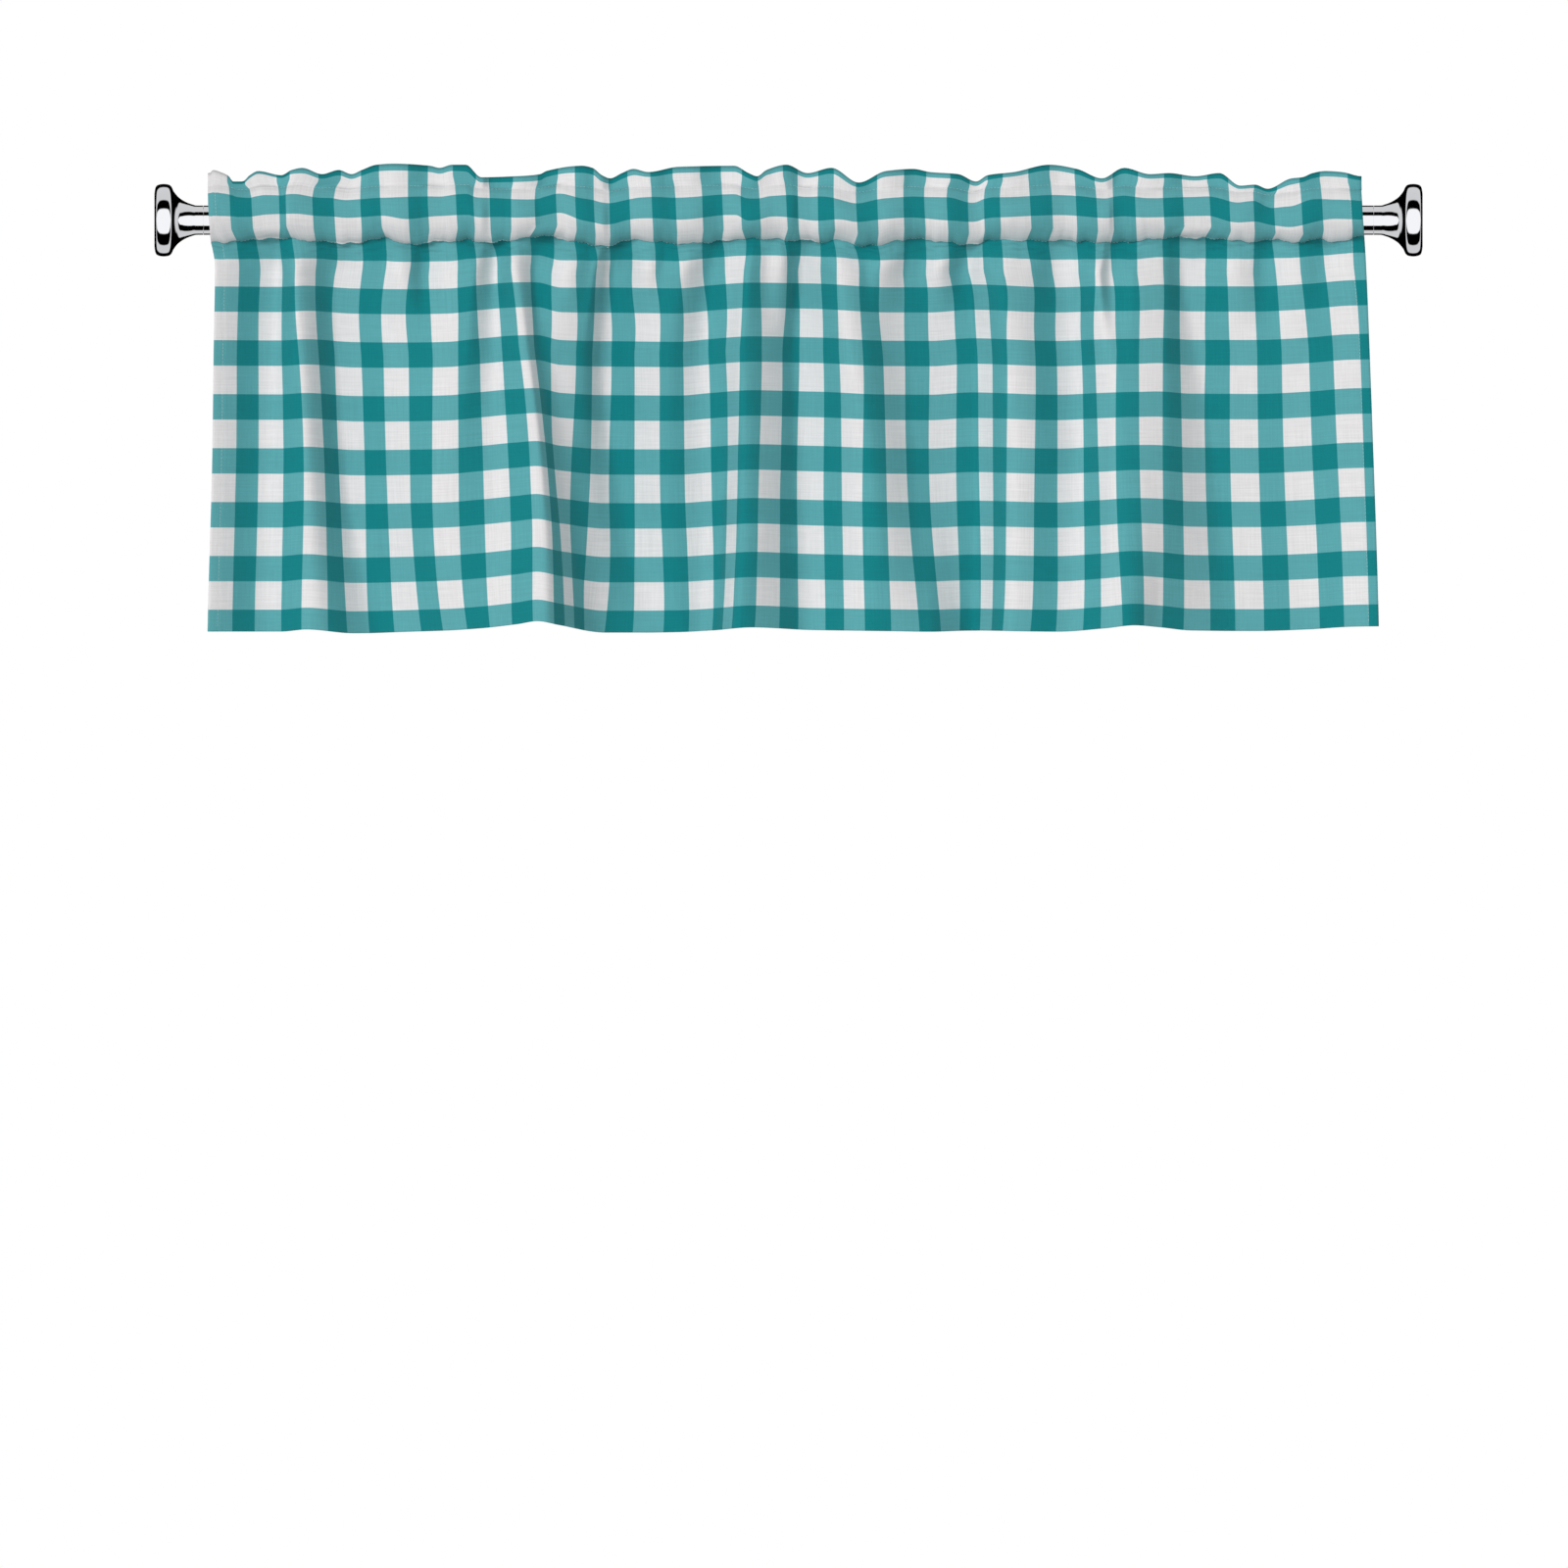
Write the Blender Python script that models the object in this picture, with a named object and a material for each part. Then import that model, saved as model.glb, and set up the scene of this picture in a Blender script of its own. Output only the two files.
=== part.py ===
"""A gathered window valance hanging on its plain pole.

The cloth is one flat length. Its top is turned down behind and sewn along two lines, which
leaves a pocket for the pole and a short ruffled heading above it. The pole is a tube with a
flared foot at each end. The model is in metres, with X along the pole, -Y to the front and
+Z up. Its origin is the middle of the left foot's outer face. The sizes and tables below are
in millimetres: a place is counted along the pole from that face, and "out" is to the front.
"""
import math
from typing import NamedTuple

import bmesh
import bpy
import numpy as np

MM = 0.001
FIT_GAP = 0.3
SMOOTH_UNDER_DEGREES = 35.0

OVERALL_LENGTH = 1210.0
POLE_RADIUS = 14.0
POLE_WALL = 1.2
POLE_SIDES = 32

FOOT_RADIUS = 34.6
FOOT_FACE_RADIUS = 25.0
FOOT_FACE_DISH = 0.5
FOOT_EDGE_ROUND = 4.5
FOOT_EDGE_STEPS = 4
FOOT_RIM_WIDTH = 14.0
FOOT_BACK_ROUND = 3.2
FLARE_STEPS = 8
FLARE_STEP_POWER = 1.4
NECK_END = 46.5
SPIGOT_LENGTH = 20.0
FOOT_SIDES = 32

SHEET_THICKNESS = 1.6
HEADING_THICKNESS = 3.2
TOP_FOLD_THICKNESS = 2.2
THREADS = 104
# Places along one level where the folds' length is summed up.
ARC_SAMPLES = 2400

LOWER_SEAM_HEIGHT = -20.0
UPPER_SEAM_HEIGHT = 31.0
MEAN_TOP_HEIGHT = 46.0
POCKET_STEPS = 8
POCKET_INNER_DEPTH = 16.5
POCKET_ROUNDNESS = 1.1
SEAM_BINDING = 2.4
SEAM_PINCH_POWER = 3
HEADING_STEPS = 2
# The level at which the folds of the pocket and the heading are read, above the lower seam.
HEADING_LEVEL = -45.0

SKIRT_LENGTH = 377.0
HANG_OUT = 8.0
# How far below the lower seam the rows of the skirt are, along the cloth.
SKIRT_ROWS = (0.0, 9.0, 22.0, 45.0, 85.0, 145.0, 225.0, 305.0, SKIRT_LENGTH)
# How far below the lower seam the three columns of the fold table are read.
FOLD_LEVELS = (30.0, 185.0, 340.0)
FOLD_RUN_IN = 32.0

# Shares of the skirt's folds that reach into the seams, the pocket and the heading.
SEAM_FOLD_SHARE = 0.30
POCKET_FOLD_SHARE = 0.34
POCKET_BACK_SHARE = 0.24
HEADING_FOLD_SHARE = 0.42
FOLD_HALF_RANGE = 18.0
SEAM_DIP_SHARE = 0.05
# How fast the seam's own dips die out below it, down the skirt.
SEAM_DIP_REACH = 9.0
UPPER_SEAM_FOLLOW = 0.30


class FoldLine(NamedTuple):
    """One crest, shoulder or hollow: its place and how far out it stands, at three levels."""
    heading_at: float
    middle_at: float
    hem_at: float
    heading_out: float
    middle_out: float
    hem_out: float


class Gather(NamedTuple):
    """One short gather under the heading: its place, height, half width and reach down."""
    at: float
    out: float
    half_width: float
    reach: float


class TopPoint(NamedTuple):
    """One rise or dip of the heading's top edge: its place and its height over the pole."""
    at: float
    height: float


class RowDrop(NamedTuple):
    """How far the cloth sags at one place, below its mean height, near its seam and its hem."""
    at: float
    near_seam: float
    at_hem: float


class FlarePoint(NamedTuple):
    """One ring of a foot's flare: its distance from the flat face and its radius."""
    along: float
    radius: float


class SideEdge(NamedTuple):
    """The two side hems at one level: how far below the lower seam, and their places."""
    below_seam: float
    left: float
    right: float


FOLD_LINES = (
    FoldLine(58, 56, 52, 6, 14, 25),
    FoldLine(118, 108, 105, -21, -9, 1),
    FoldLine(136, 144, 151, 8, 15, 26),
    FoldLine(176, 180, 206, -23, -25, -15),
    FoldLine(308, 288, 292, 2, 24, 30),
    FoldLine(328, 320, 320, -17, 17, 40),
    FoldLine(342, 363, 370, 8, 43, 74),
    FoldLine(362, 379, 417, -15, 7, -4),
    FoldLine(417, 414, 442, -5, -14, -16),
    FoldLine(434, 442, 468, -25, -41, -26),
    FoldLine(498, 490, 498, 2, -16, -20),
    FoldLine(526, 522, 520, -19, -24, -24),
    FoldLine(544, 547, 536, -6, -10, -14),
    FoldLine(563, 565, 561, 12, 23, 36),
    FoldLine(616, 618, 620, -25, -23, -9),
    FoldLine(650, 677, 687, 16, 20, 34),
    FoldLine(718, 722, 732, -14, -16, 16),
    FoldLine(777, 777, 776, -21, -26, -14),
    FoldLine(808, 820, 820, 18, 24, 44),
    FoldLine(863, 872, 867, -9, 3, 32),
    FoldLine(902, 924, 928, 16, 45, 70),
    FoldLine(962, 966, 965, 5, 36, 48),
    FoldLine(986, 1010, 1033, -16, 0, 8),
    FoldLine(1068, 1073, 1087, -7, 2, 6),
    FoldLine(1156, 1162, 1167, 4, 16, 26),
)

GATHERS = (
    Gather(208, 9, 26, 90),
    Gather(238, 15, 22, 110),
    Gather(264, -13, 18, 110),
    Gather(391, 15, 26, 120),
    Gather(434, -6, 17, 110),
    Gather(465, 16, 18, 90),
    Gather(598, 15, 17, 120),
    Gather(697, 18, 20, 80),
    Gather(750, 20, 24, 90),
    Gather(838, 6, 20, 80),
    Gather(918, -20, 15, 130),
    Gather(1033, 14, 28, 120),
    Gather(1066, -6, 18, 140),
    Gather(1093, 8, 24, 120),
    Gather(1125, -5, 22, 100),
)

ROW_DROPS = (
    RowDrop(60, 0, 1),
    RowDrop(120, 0.5, 1),
    RowDrop(145, -0.5, -1),
    RowDrop(190, 2, 2.5),
    RowDrop(250, 3, 1),
    RowDrop(280, 2.5, 0),
    RowDrop(310, -1, -2),
    RowDrop(345, -3.5, -6),
    RowDrop(365, -3, -9),
    RowDrop(388, 2, -5),
    RowDrop(430, 1, 2),
    RowDrop(500, 2, 1.5),
    RowDrop(530, -1, 0),
    RowDrop(570, -3.5, -3),
    RowDrop(628, -3, -0.5),
    RowDrop(700, 1, 0.5),
    RowDrop(740, 1, 1),
    RowDrop(780, -2, 0),
    RowDrop(860, 1, 1),
    RowDrop(905, 0, -2),
    RowDrop(935, 0.5, -5),
    RowDrop(960, -1.5, -3),
    RowDrop(990, 0, 0),
    RowDrop(1050, 0, 0.5),
    RowDrop(1100, -2.5, -1),
    RowDrop(1140, -6, -3.5),
    RowDrop(1165, -6.5, -4),
)

TOP_EDGE = (
    TopPoint(53, 42), TopPoint(58, 46), TopPoint(75, 38), TopPoint(98, 46), TopPoint(120, 42),
    TopPoint(141, 49), TopPoint(159, 44), TopPoint(176, 47), TopPoint(187, 39), TopPoint(229, 53),
    TopPoint(257, 51), TopPoint(290, 53), TopPoint(312, 41), TopPoint(372, 41), TopPoint(409, 51),
    TopPoint(435, 38), TopPoint(459, 48), TopPoint(553, 51), TopPoint(578, 40), TopPoint(604, 52),
    TopPoint(620, 45), TopPoint(647, 49), TopPoint(672, 36), TopPoint(723, 48), TopPoint(785, 35),
    TopPoint(855, 53), TopPoint(904, 39), TopPoint(925, 49), TopPoint(965, 44), TopPoint(1013, 45),
    TopPoint(1036, 34), TopPoint(1062, 30), TopPoint(1118, 46), TopPoint(1150, 40),
)

SIDE_EDGES = (
    SideEdge(-80, 53, 1150),
    SideEdge(-45, 51, 1152),
    SideEdge(-8, 53, 1154),
    SideEdge(30, 58, 1156),
    SideEdge(185, 56, 1162),
    SideEdge(SKIRT_LENGTH, 51, 1168),
)

FLARE = (
    FlarePoint(17.3, 31.0),
    FlarePoint(19.0, 27.8),
    FlarePoint(21.6, 24.3),
    FlarePoint(26.2, 20.5),
    FlarePoint(31.5, 17.2),
    FlarePoint(39.5, POLE_RADIUS),
)


def clear_scene():
    """Remove whatever the scene holds."""
    for thing in list(bpy.data.objects):
        bpy.data.objects.remove(thing, do_unlink=True)


def make_material(name, colour, roughness, metallic):
    """A plain finish in linear colour."""
    material = bpy.data.materials.new(name)
    material.use_nodes = True
    shader = material.node_tree.nodes["Principled BSDF"]
    shader.inputs["Base Color"].default_value = (*colour, 1.0)
    shader.inputs["Roughness"].default_value = roughness
    shader.inputs["Metallic"].default_value = metallic
    return material


def mesh_object(name, points, faces, material, round_piece):
    """Make one closed object from points in millimetres, with its faces pointing out."""
    mesh = bpy.data.meshes.new(name)
    mesh.from_pydata([tuple(MM * value for value in point) for point in points], [], faces)
    mesh.validate()
    shape = bmesh.new()
    shape.from_mesh(mesh)
    bmesh.ops.recalc_face_normals(shape, faces=shape.faces)
    shape.to_mesh(mesh)
    shape.free()
    mesh.materials.append(material)
    if round_piece:
        mesh.shade_smooth()
        mesh.set_sharp_from_angle(angle=math.radians(SMOOTH_UNDER_DEGREES))
    item = bpy.data.objects.new(name, mesh)
    bpy.context.scene.collection.objects.link(item)
    return item


def turned(profile, sides):
    """Turn a profile of (along, radius) about the pole's axis; a radius of 0 is a pole point."""
    points = []
    rings = []
    for along, radius in profile:
        if radius == 0.0:
            rings.append([len(points)])
            points.append((along, 0.0, 0.0))
            continue
        ring = []
        for side in range(sides):
            angle = math.tau * side / sides
            ring.append(len(points))
            points.append((along, radius * math.cos(angle), radius * math.sin(angle)))
        rings.append(ring)
    faces = []
    for first, second in zip(rings, rings[1:]):
        for side in range(sides):
            following = (side + 1) % sides
            if len(first) == 1:
                faces.append((first[0], second[following], second[side]))
            elif len(second) == 1:
                faces.append((first[side], first[following], second[0]))
            else:
                faces.append((first[side], first[following], second[following], second[side]))
    return points, faces


def arc(centre, radius, start, end, steps):
    """Points of an arc in (along, radius), from one angle to another in degrees."""
    along, out = centre
    angles = [math.radians(start + (end - start) * step / steps) for step in range(steps + 1)]
    return [(along + radius * math.cos(angle), out + radius * math.sin(angle)) for angle in angles]


def foot_profile():
    """The left foot, from its flat outer face to the end of the spigot inside the tube."""
    rim = FOOT_RADIUS - FOOT_EDGE_ROUND
    profile = [(0.0, 0.0), (0.0, FOOT_FACE_RADIUS)]
    profile += arc((FOOT_EDGE_ROUND + FOOT_FACE_DISH, rim), FOOT_EDGE_ROUND, 180, 90, FOOT_EDGE_STEPS)
    back = FOOT_RADIUS - FOOT_BACK_ROUND
    profile += arc((FOOT_RIM_WIDTH, back), FOOT_BACK_ROUND, 90, 0, FOOT_EDGE_STEPS)
    places, radii = zip(*FLARE)
    shares = (np.arange(FLARE_STEPS + 1) / FLARE_STEPS) ** FLARE_STEP_POWER
    along = places[0] + (places[-1] - places[0]) * shares
    profile += list(zip(along.tolist(), smooth_between(places, radii, along).tolist()))
    spigot = POLE_RADIUS - POLE_WALL - FIT_GAP
    profile += [(NECK_END, POLE_RADIUS), (NECK_END, spigot)]
    profile += [(NECK_END + SPIGOT_LENGTH, spigot), (NECK_END + SPIGOT_LENGTH, 0.0)]
    return profile


def build_feet(material):
    """The two flared feet, one turned form and its mirror image."""
    profile = foot_profile()
    mirrored = [(OVERALL_LENGTH - along, radius) for along, radius in profile]
    for name, side in (("left_foot", profile), ("right_foot", mirrored)):
        points, faces = turned(side, FOOT_SIDES)
        mesh_object(name, points, faces, material, round_piece=True)


def build_pole(material):
    """The pole, an open tube whose ends take the spigots of the feet."""
    start = NECK_END + FIT_GAP
    end = OVERALL_LENGTH - start
    inner = POLE_RADIUS - POLE_WALL
    corners = [(start, POLE_RADIUS), (end, POLE_RADIUS), (end, inner), (start, inner)]
    points, faces = turned(corners + corners[:1], POLE_SIDES)
    ring = POLE_SIDES * 4
    closed = [tuple(index % ring for index in face) for face in faces]
    mesh_object("pole", points[:ring], closed, material, round_piece=True)


def through_levels(levels, values, at):
    """The smooth curve of second degree through three values, read at one level."""
    total = 0.0
    for index, value in enumerate(values):
        weight = 1.0
        for other, level in enumerate(levels):
            if other != index:
                weight *= (at - level) / (levels[index] - level)
        total = total + weight * value
    return total


def eased(share):
    """A share from 0 to 1 that starts and ends gently."""
    return share * share * (3.0 - 2.0 * share)


def smooth_between(places, values, at):
    """A smooth curve through the values that never swings past them."""
    places = np.asarray(places, dtype=float)
    values = np.asarray(values, dtype=float)
    spans = np.diff(places)
    grades = np.diff(values) / spans
    slopes = np.zeros(len(places))
    for index in range(1, len(places) - 1):
        before, after = grades[index - 1], grades[index]
        if before * after > 0.0:
            weight_before = 2.0 * spans[index] + spans[index - 1]
            weight_after = spans[index] + 2.0 * spans[index - 1]
            both = weight_before + weight_after
            slopes[index] = both / (weight_before / before + weight_after / after)
    slopes[0], slopes[-1] = 0.5 * grades[0], 0.5 * grades[-1]
    index = np.clip(np.searchsorted(places, at) - 1, 0, len(spans) - 1)
    share = np.clip((at - places[index]) / spans[index], 0.0, 1.0)
    rise = values[index + 1] - values[index]
    lead = share * (1.0 - share) ** 2 * spans[index] * slopes[index]
    trail = share ** 2 * (share - 1.0) * spans[index] * slopes[index + 1]
    return values[index] + eased(share) * rise + lead + trail


def side_edges(below_seam):
    """The places of the left and right side hems at one level."""
    levels = [edge.below_seam for edge in SIDE_EDGES]
    left = smooth_between(levels, [edge.left for edge in SIDE_EDGES], np.array(below_seam))
    right = smooth_between(levels, [edge.right for edge in SIDE_EDGES], np.array(below_seam))
    return float(left), float(right)


def row_drop(below_seam, places):
    """How far the cloth sags along one level, below the level's mean height."""
    at = [drop.at for drop in ROW_DROPS]
    near_seam = smooth_between(at, [drop.near_seam for drop in ROW_DROPS], places)
    at_hem = smooth_between(at, [drop.at_hem for drop in ROW_DROPS], places)
    return near_seam + (at_hem - near_seam) * below_seam / SKIRT_LENGTH


def fold_profile(below_seam, places):
    """How far out the skirt's folds stand along one level, before they are held at the seam."""
    level = max(below_seam, 0.0)
    columns = [np.reshape(line, (2, len(FOLD_LEVELS))).T for line in FOLD_LINES]
    lines = np.array([through_levels(FOLD_LEVELS, column, level) for column in columns])
    out = smooth_between(lines[:, 0], lines[:, 1], places)
    for gather in GATHERS:
        spread = np.clip(np.abs(places - gather.at) / gather.half_width, 0.0, 1.0)
        fade = max(0.0, 1.0 - level / gather.reach) ** 2 * (1.0 + 2.0 * level / gather.reach)
        out = out + gather.out * fade * np.cos(0.5 * math.pi * spread) ** 2
    return out


def thread_row(below_seam, shares):
    """Place and fold of each upright thread at one level.

    Threads are equally spaced on the flat cloth, so where the cloth runs in or out they draw
    together along the pole.
    """
    left, right = side_edges(below_seam)
    places = np.linspace(left, right, ARC_SAMPLES)
    out = fold_profile(below_seam, places)
    along_cloth = np.concatenate(([0.0], np.cumsum(np.hypot(np.diff(places), np.diff(out)))))
    at = np.interp(shares * along_cloth[-1], along_cloth, places)
    return at, np.interp(at, places, out)


def skirt_surface(shares):
    """Middle surface of the hanging skirt, one row of points for each level, seam first.

    Where the cloth runs in or out on its way down, it hangs higher by what that takes of its
    length. The weave evens this out along a row, so the whole row takes the mean.
    """
    surface = []
    height = LOWER_SEAM_HEIGHT
    previous = None
    for below_seam in SKIRT_ROWS:
        at, fold = thread_row(below_seam, shares)
        ease = eased(min(1.0, below_seam / FOLD_RUN_IN))
        out = SEAM_FOLD_SHARE * fold * (1.0 - ease) + (fold + HANG_OUT) * ease
        if previous:
            length = below_seam - previous[2]
            sideways = np.hypot(at - previous[0], out - previous[1])
            height -= float(np.mean(np.sqrt(np.maximum(length ** 2 - sideways ** 2, 0.0))))
        near_seam = math.exp(-below_seam / SEAM_DIP_REACH)
        drop = row_drop(below_seam, at) * (1.0 - near_seam) + SEAM_DIP_SHARE * fold * near_seam
        surface.append(np.stack((at, -out, height - drop), axis=1))
        previous = (at, out, below_seam)
    return np.array(surface)


def sheet_sides(surface, thickness):
    """The front and the back of a sheet about its middle surface."""
    along_row = np.gradient(surface, axis=1)
    down_column = np.gradient(surface, axis=0)
    normal = np.cross(down_column, along_row)
    normal = normal / np.linalg.norm(normal, axis=2, keepdims=True)
    if normal[..., 1].mean() > 0.0:
        normal = -normal
    half = 0.5 * thickness
    return surface + half * normal, surface - half * normal


def pocket_layers(at, fold, seam, upper_height, upper_out):
    """Outer and inner points of the pocket's two layers, from the lower seam to the upper one."""
    layers = {"front": [], "back": [], "front_inside": [], "back_inside": []}
    seam_out, seam_height = -seam[:, 1], seam[:, 2]
    crest = POCKET_FOLD_SHARE * np.maximum(fold + FOLD_HALF_RANGE, 0.0)
    crest_behind = POCKET_BACK_SHARE * np.maximum(FOLD_HALF_RANGE - fold, 0.0)
    for step in range(POCKET_STEPS + 1):
        angle = math.pi * step / POCKET_STEPS
        swell = math.sin(angle) ** POCKET_ROUNDNESS if 0 < step < POCKET_STEPS else 0.0
        share = 0.5 - 0.5 * math.cos(angle)
        drift = (1.0 - swell) ** SEAM_PINCH_POWER * (seam_out * (1.0 - share) + upper_out * share)
        outside = seam_height + (upper_height - seam_height) * share
        low, high = seam_height + SEAM_BINDING, upper_height - SEAM_BINDING
        inside = low + (high - low) * share
        front = swell * (POCKET_INNER_DEPTH + crest) + drift
        back = -swell * (POCKET_INNER_DEPTH + crest_behind) + drift
        wall = 0.5 * HEADING_THICKNESS
        layers["front"].append(np.stack((at, -(front + wall), outside), axis=1))
        layers["back"].append(np.stack((at, -(back - wall), outside), axis=1))
        layers["front_inside"].append(np.stack((at, -front, inside), axis=1))
        layers["back_inside"].append(np.stack((at, -back, inside), axis=1))
    return layers


def heading_rows(at, fold, upper_height, upper_out, top_height):
    """Front and back of the ruffled heading above the upper seam, lowest row left out."""
    front, back = [], []
    for step in range(1, HEADING_STEPS + 1):
        share = step / HEADING_STEPS
        height = upper_height + (top_height - upper_height) * share
        out = upper_out * (1.0 - share) + HEADING_FOLD_SHARE * fold * share
        thickness = HEADING_THICKNESS + (TOP_FOLD_THICKNESS - HEADING_THICKNESS) * share
        front.append(np.stack((at, -(out + 0.5 * thickness), height), axis=1))
        back.append(np.stack((at, -(out - 0.5 * thickness), height), axis=1))
    return front, back


def valance_rings():
    """The outer ring of points across the cloth and the ring round the pocket, by thread."""
    shares = np.linspace(0.0, 1.0, THREADS)
    skirt = skirt_surface(shares)
    front, back = sheet_sides(skirt, SHEET_THICKNESS)
    at, fold = thread_row(HEADING_LEVEL, shares)
    top_places, top_heights = zip(*TOP_EDGE)
    top_height = smooth_between(top_places, top_heights, at)
    upper_height = UPPER_SEAM_HEIGHT + UPPER_SEAM_FOLLOW * (top_height - MEAN_TOP_HEIGHT)
    upper_out = SEAM_FOLD_SHARE * fold
    layers = pocket_layers(at, fold, skirt[0], upper_height, upper_out)
    heading_front, heading_back = heading_rows(at, fold, upper_height, upper_out, top_height)
    front_points = list(front[:0:-1]) + layers["front"] + heading_front
    back_points = list(back[:0:-1]) + layers["back"] + heading_back
    outer = np.array(front_points + back_points[::-1])
    inner = np.array(layers["front_inside"] + layers["back_inside"][-2:0:-1])
    return outer.transpose(1, 0, 2), inner.transpose(1, 0, 2)


def side_faces(first, ring, skirt_steps):
    """Close one side hem of the cloth, leaving the pocket's mouth open."""
    outer = [first + index for index in range(ring[0])]
    inner = [first + ring[0] + index for index in range(ring[1])]
    faces = []
    pocket_end = skirt_steps + POCKET_STEPS
    strips = list(range(skirt_steps)) + list(range(pocket_end, pocket_end + HEADING_STEPS))
    for index in strips:
        faces.append((outer[index], outer[index + 1], outer[-2 - index], outer[-1 - index]))
    for seam, binding in ((skirt_steps, 0), (pocket_end, POCKET_STEPS)):
        faces.append((outer[seam], inner[binding], outer[-1 - seam]))
    for step in range(POCKET_STEPS):
        index = skirt_steps + step
        faces.append((outer[index], outer[index + 1], inner[step + 1], inner[step]))
        behind, following = -step % ring[1], -(step + 1) % ring[1]
        faces.append((outer[-1 - index], inner[behind], inner[following], outer[-2 - index]))
    return faces


def build_valance(material):
    """The whole cloth as one closed solid: skirt, pocket round the pole, and heading."""
    outer, inner = valance_rings()
    ring = (outer.shape[1], inner.shape[1])
    stride = sum(ring)
    points = np.concatenate((outer, inner), axis=1).reshape(-1, 3).tolist()
    faces = []
    for thread in range(THREADS - 1):
        here, there = thread * stride, (thread + 1) * stride
        for size, shift in ((ring[0], 0), (ring[1], ring[0])):
            for index in range(size):
                first, second = shift + index, shift + (index + 1) % size
                corners = (here + first, here + second, there + second, there + first)
                faces.append(corners if shift == 0 else corners[::-1])
    skirt_steps = len(SKIRT_ROWS) - 1
    faces += [face[::-1] for face in side_faces(0, ring, skirt_steps)]
    faces += side_faces((THREADS - 1) * stride, ring, skirt_steps)
    mesh_object("valance", points, faces, material, round_piece=True)


def main():
    """Build the cloth, the pole and its two feet."""
    clear_scene()
    cloth = make_material("checked_cotton", (0.107, 0.413, 0.445), 0.85, 0.0)
    chrome = make_material("polished_chrome", (0.78, 0.78, 0.80), 0.08, 1.0)
    build_valance(cloth)
    build_pole(chrome)
    build_feet(chrome)


main()
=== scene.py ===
"""The looks of a gathered gingham valance on its chrome pole.

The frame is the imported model's: metres, X along the pole from the left foot's flat face, -Y to
the front, +Z up. The sizes and tables here are in millimetres in that same frame, and they
repeat the folds of the solids. A place is counted along the pole, and "out" is to the front.
"""

import logging
import math
from dataclasses import dataclass, field
from enum import Enum
from typing import Any, Mapping, NamedTuple, Sequence

import bpy
import numpy as np
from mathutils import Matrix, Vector


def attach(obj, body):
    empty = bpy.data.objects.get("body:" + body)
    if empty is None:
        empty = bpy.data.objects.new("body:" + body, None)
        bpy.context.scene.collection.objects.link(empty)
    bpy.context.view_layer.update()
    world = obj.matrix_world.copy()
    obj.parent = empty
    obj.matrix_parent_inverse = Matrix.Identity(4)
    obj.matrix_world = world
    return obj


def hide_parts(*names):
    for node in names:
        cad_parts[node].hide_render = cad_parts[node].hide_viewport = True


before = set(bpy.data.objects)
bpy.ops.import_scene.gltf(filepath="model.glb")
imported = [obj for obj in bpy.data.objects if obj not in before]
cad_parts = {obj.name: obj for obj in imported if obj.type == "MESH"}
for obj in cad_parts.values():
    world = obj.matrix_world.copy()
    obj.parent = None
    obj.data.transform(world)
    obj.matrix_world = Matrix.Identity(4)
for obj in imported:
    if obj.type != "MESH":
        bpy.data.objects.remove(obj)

MM = 0.001
log = logging.getLogger("valance")

Tree = bpy.types.NodeTree
Socket = bpy.types.NodeSocket
Piece = bpy.types.Object


class PoleEnd(Enum):
    """The two ends of the pole, by the name of the foot there and the way it faces."""

    LEFT = ("left_foot", 1.0)
    RIGHT = ("right_foot", -1.0)


class FoldLine(NamedTuple):
    """One crest, shoulder or hollow: its place and how far out it stands, at three levels."""

    heading_at: float
    middle_at: float
    hem_at: float
    heading_out: float
    middle_out: float
    hem_out: float


class Gather(NamedTuple):
    """One short gather under the heading: its place, height, half width and reach down."""

    at: float
    out: float
    half_width: float
    reach: float


class TopPoint(NamedTuple):
    """One rise or dip of the top edge: its place, its height, and how much of the next band shows."""

    at: float
    height: float
    next_band: float


class RowDrop(NamedTuple):
    """How far the cloth sags at one place, below its mean height, near its seam and its hem."""

    at: float
    near_seam: float
    at_hem: float


class SideEdge(NamedTuple):
    """The two side hems at one level: how far below the lower seam, and their places."""

    below_seam: float
    left: float
    right: float


class BandWave(NamedTuple):
    """How far the rows of checks rise along the upper and middle of the pocket and the seam."""

    at: float
    upper: float
    middle: float
    seam: float


class ThreadShift(NamedTuple):
    """How far the upright threads are pushed along the pole, from the heading to the hem."""

    at: float
    heading: float
    pocket: float
    seam: float
    upper: float
    lower: float
    hem: float


class Wrinkle(NamedTuple):
    """One broken wrinkle along the lower seam: how far below it, its depth, shade and phase."""

    drop: float
    depth: float
    shade: float
    start: float


class FlatRow(NamedTuple):
    """A level of the pocket's front, as a share of its height, and its flat distance up."""

    share: float
    flat: float


FOLD_LINES = [FoldLine(*row) for row in (
    (58, 56, 52, 6, 14, 25), (118, 108, 105, -21, -9, 1), (136, 144, 151, 8, 15, 26),
    (176, 180, 206, -23, -25, -15), (308, 288, 292, 2, 24, 30), (328, 320, 320, -17, 17, 40),
    (342, 363, 370, 8, 43, 74), (362, 379, 417, -15, 7, -4), (417, 414, 442, -5, -14, -16),
    (434, 442, 468, -25, -41, -26), (498, 490, 498, 2, -16, -20), (526, 522, 520, -19, -24, -24),
    (544, 547, 536, -6, -10, -14), (563, 565, 561, 12, 23, 36), (616, 618, 620, -25, -23, -9),
    (650, 677, 687, 16, 20, 34), (718, 722, 732, -14, -16, 16), (777, 777, 776, -21, -26, -14),
    (808, 820, 820, 18, 24, 44), (863, 872, 867, -9, 3, 32), (902, 924, 928, 16, 45, 70),
    (962, 966, 965, 5, 36, 48), (986, 1010, 1033, -16, 0, 8), (1068, 1073, 1087, -7, 2, 6),
    (1156, 1162, 1167, 4, 16, 26),
)]

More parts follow.
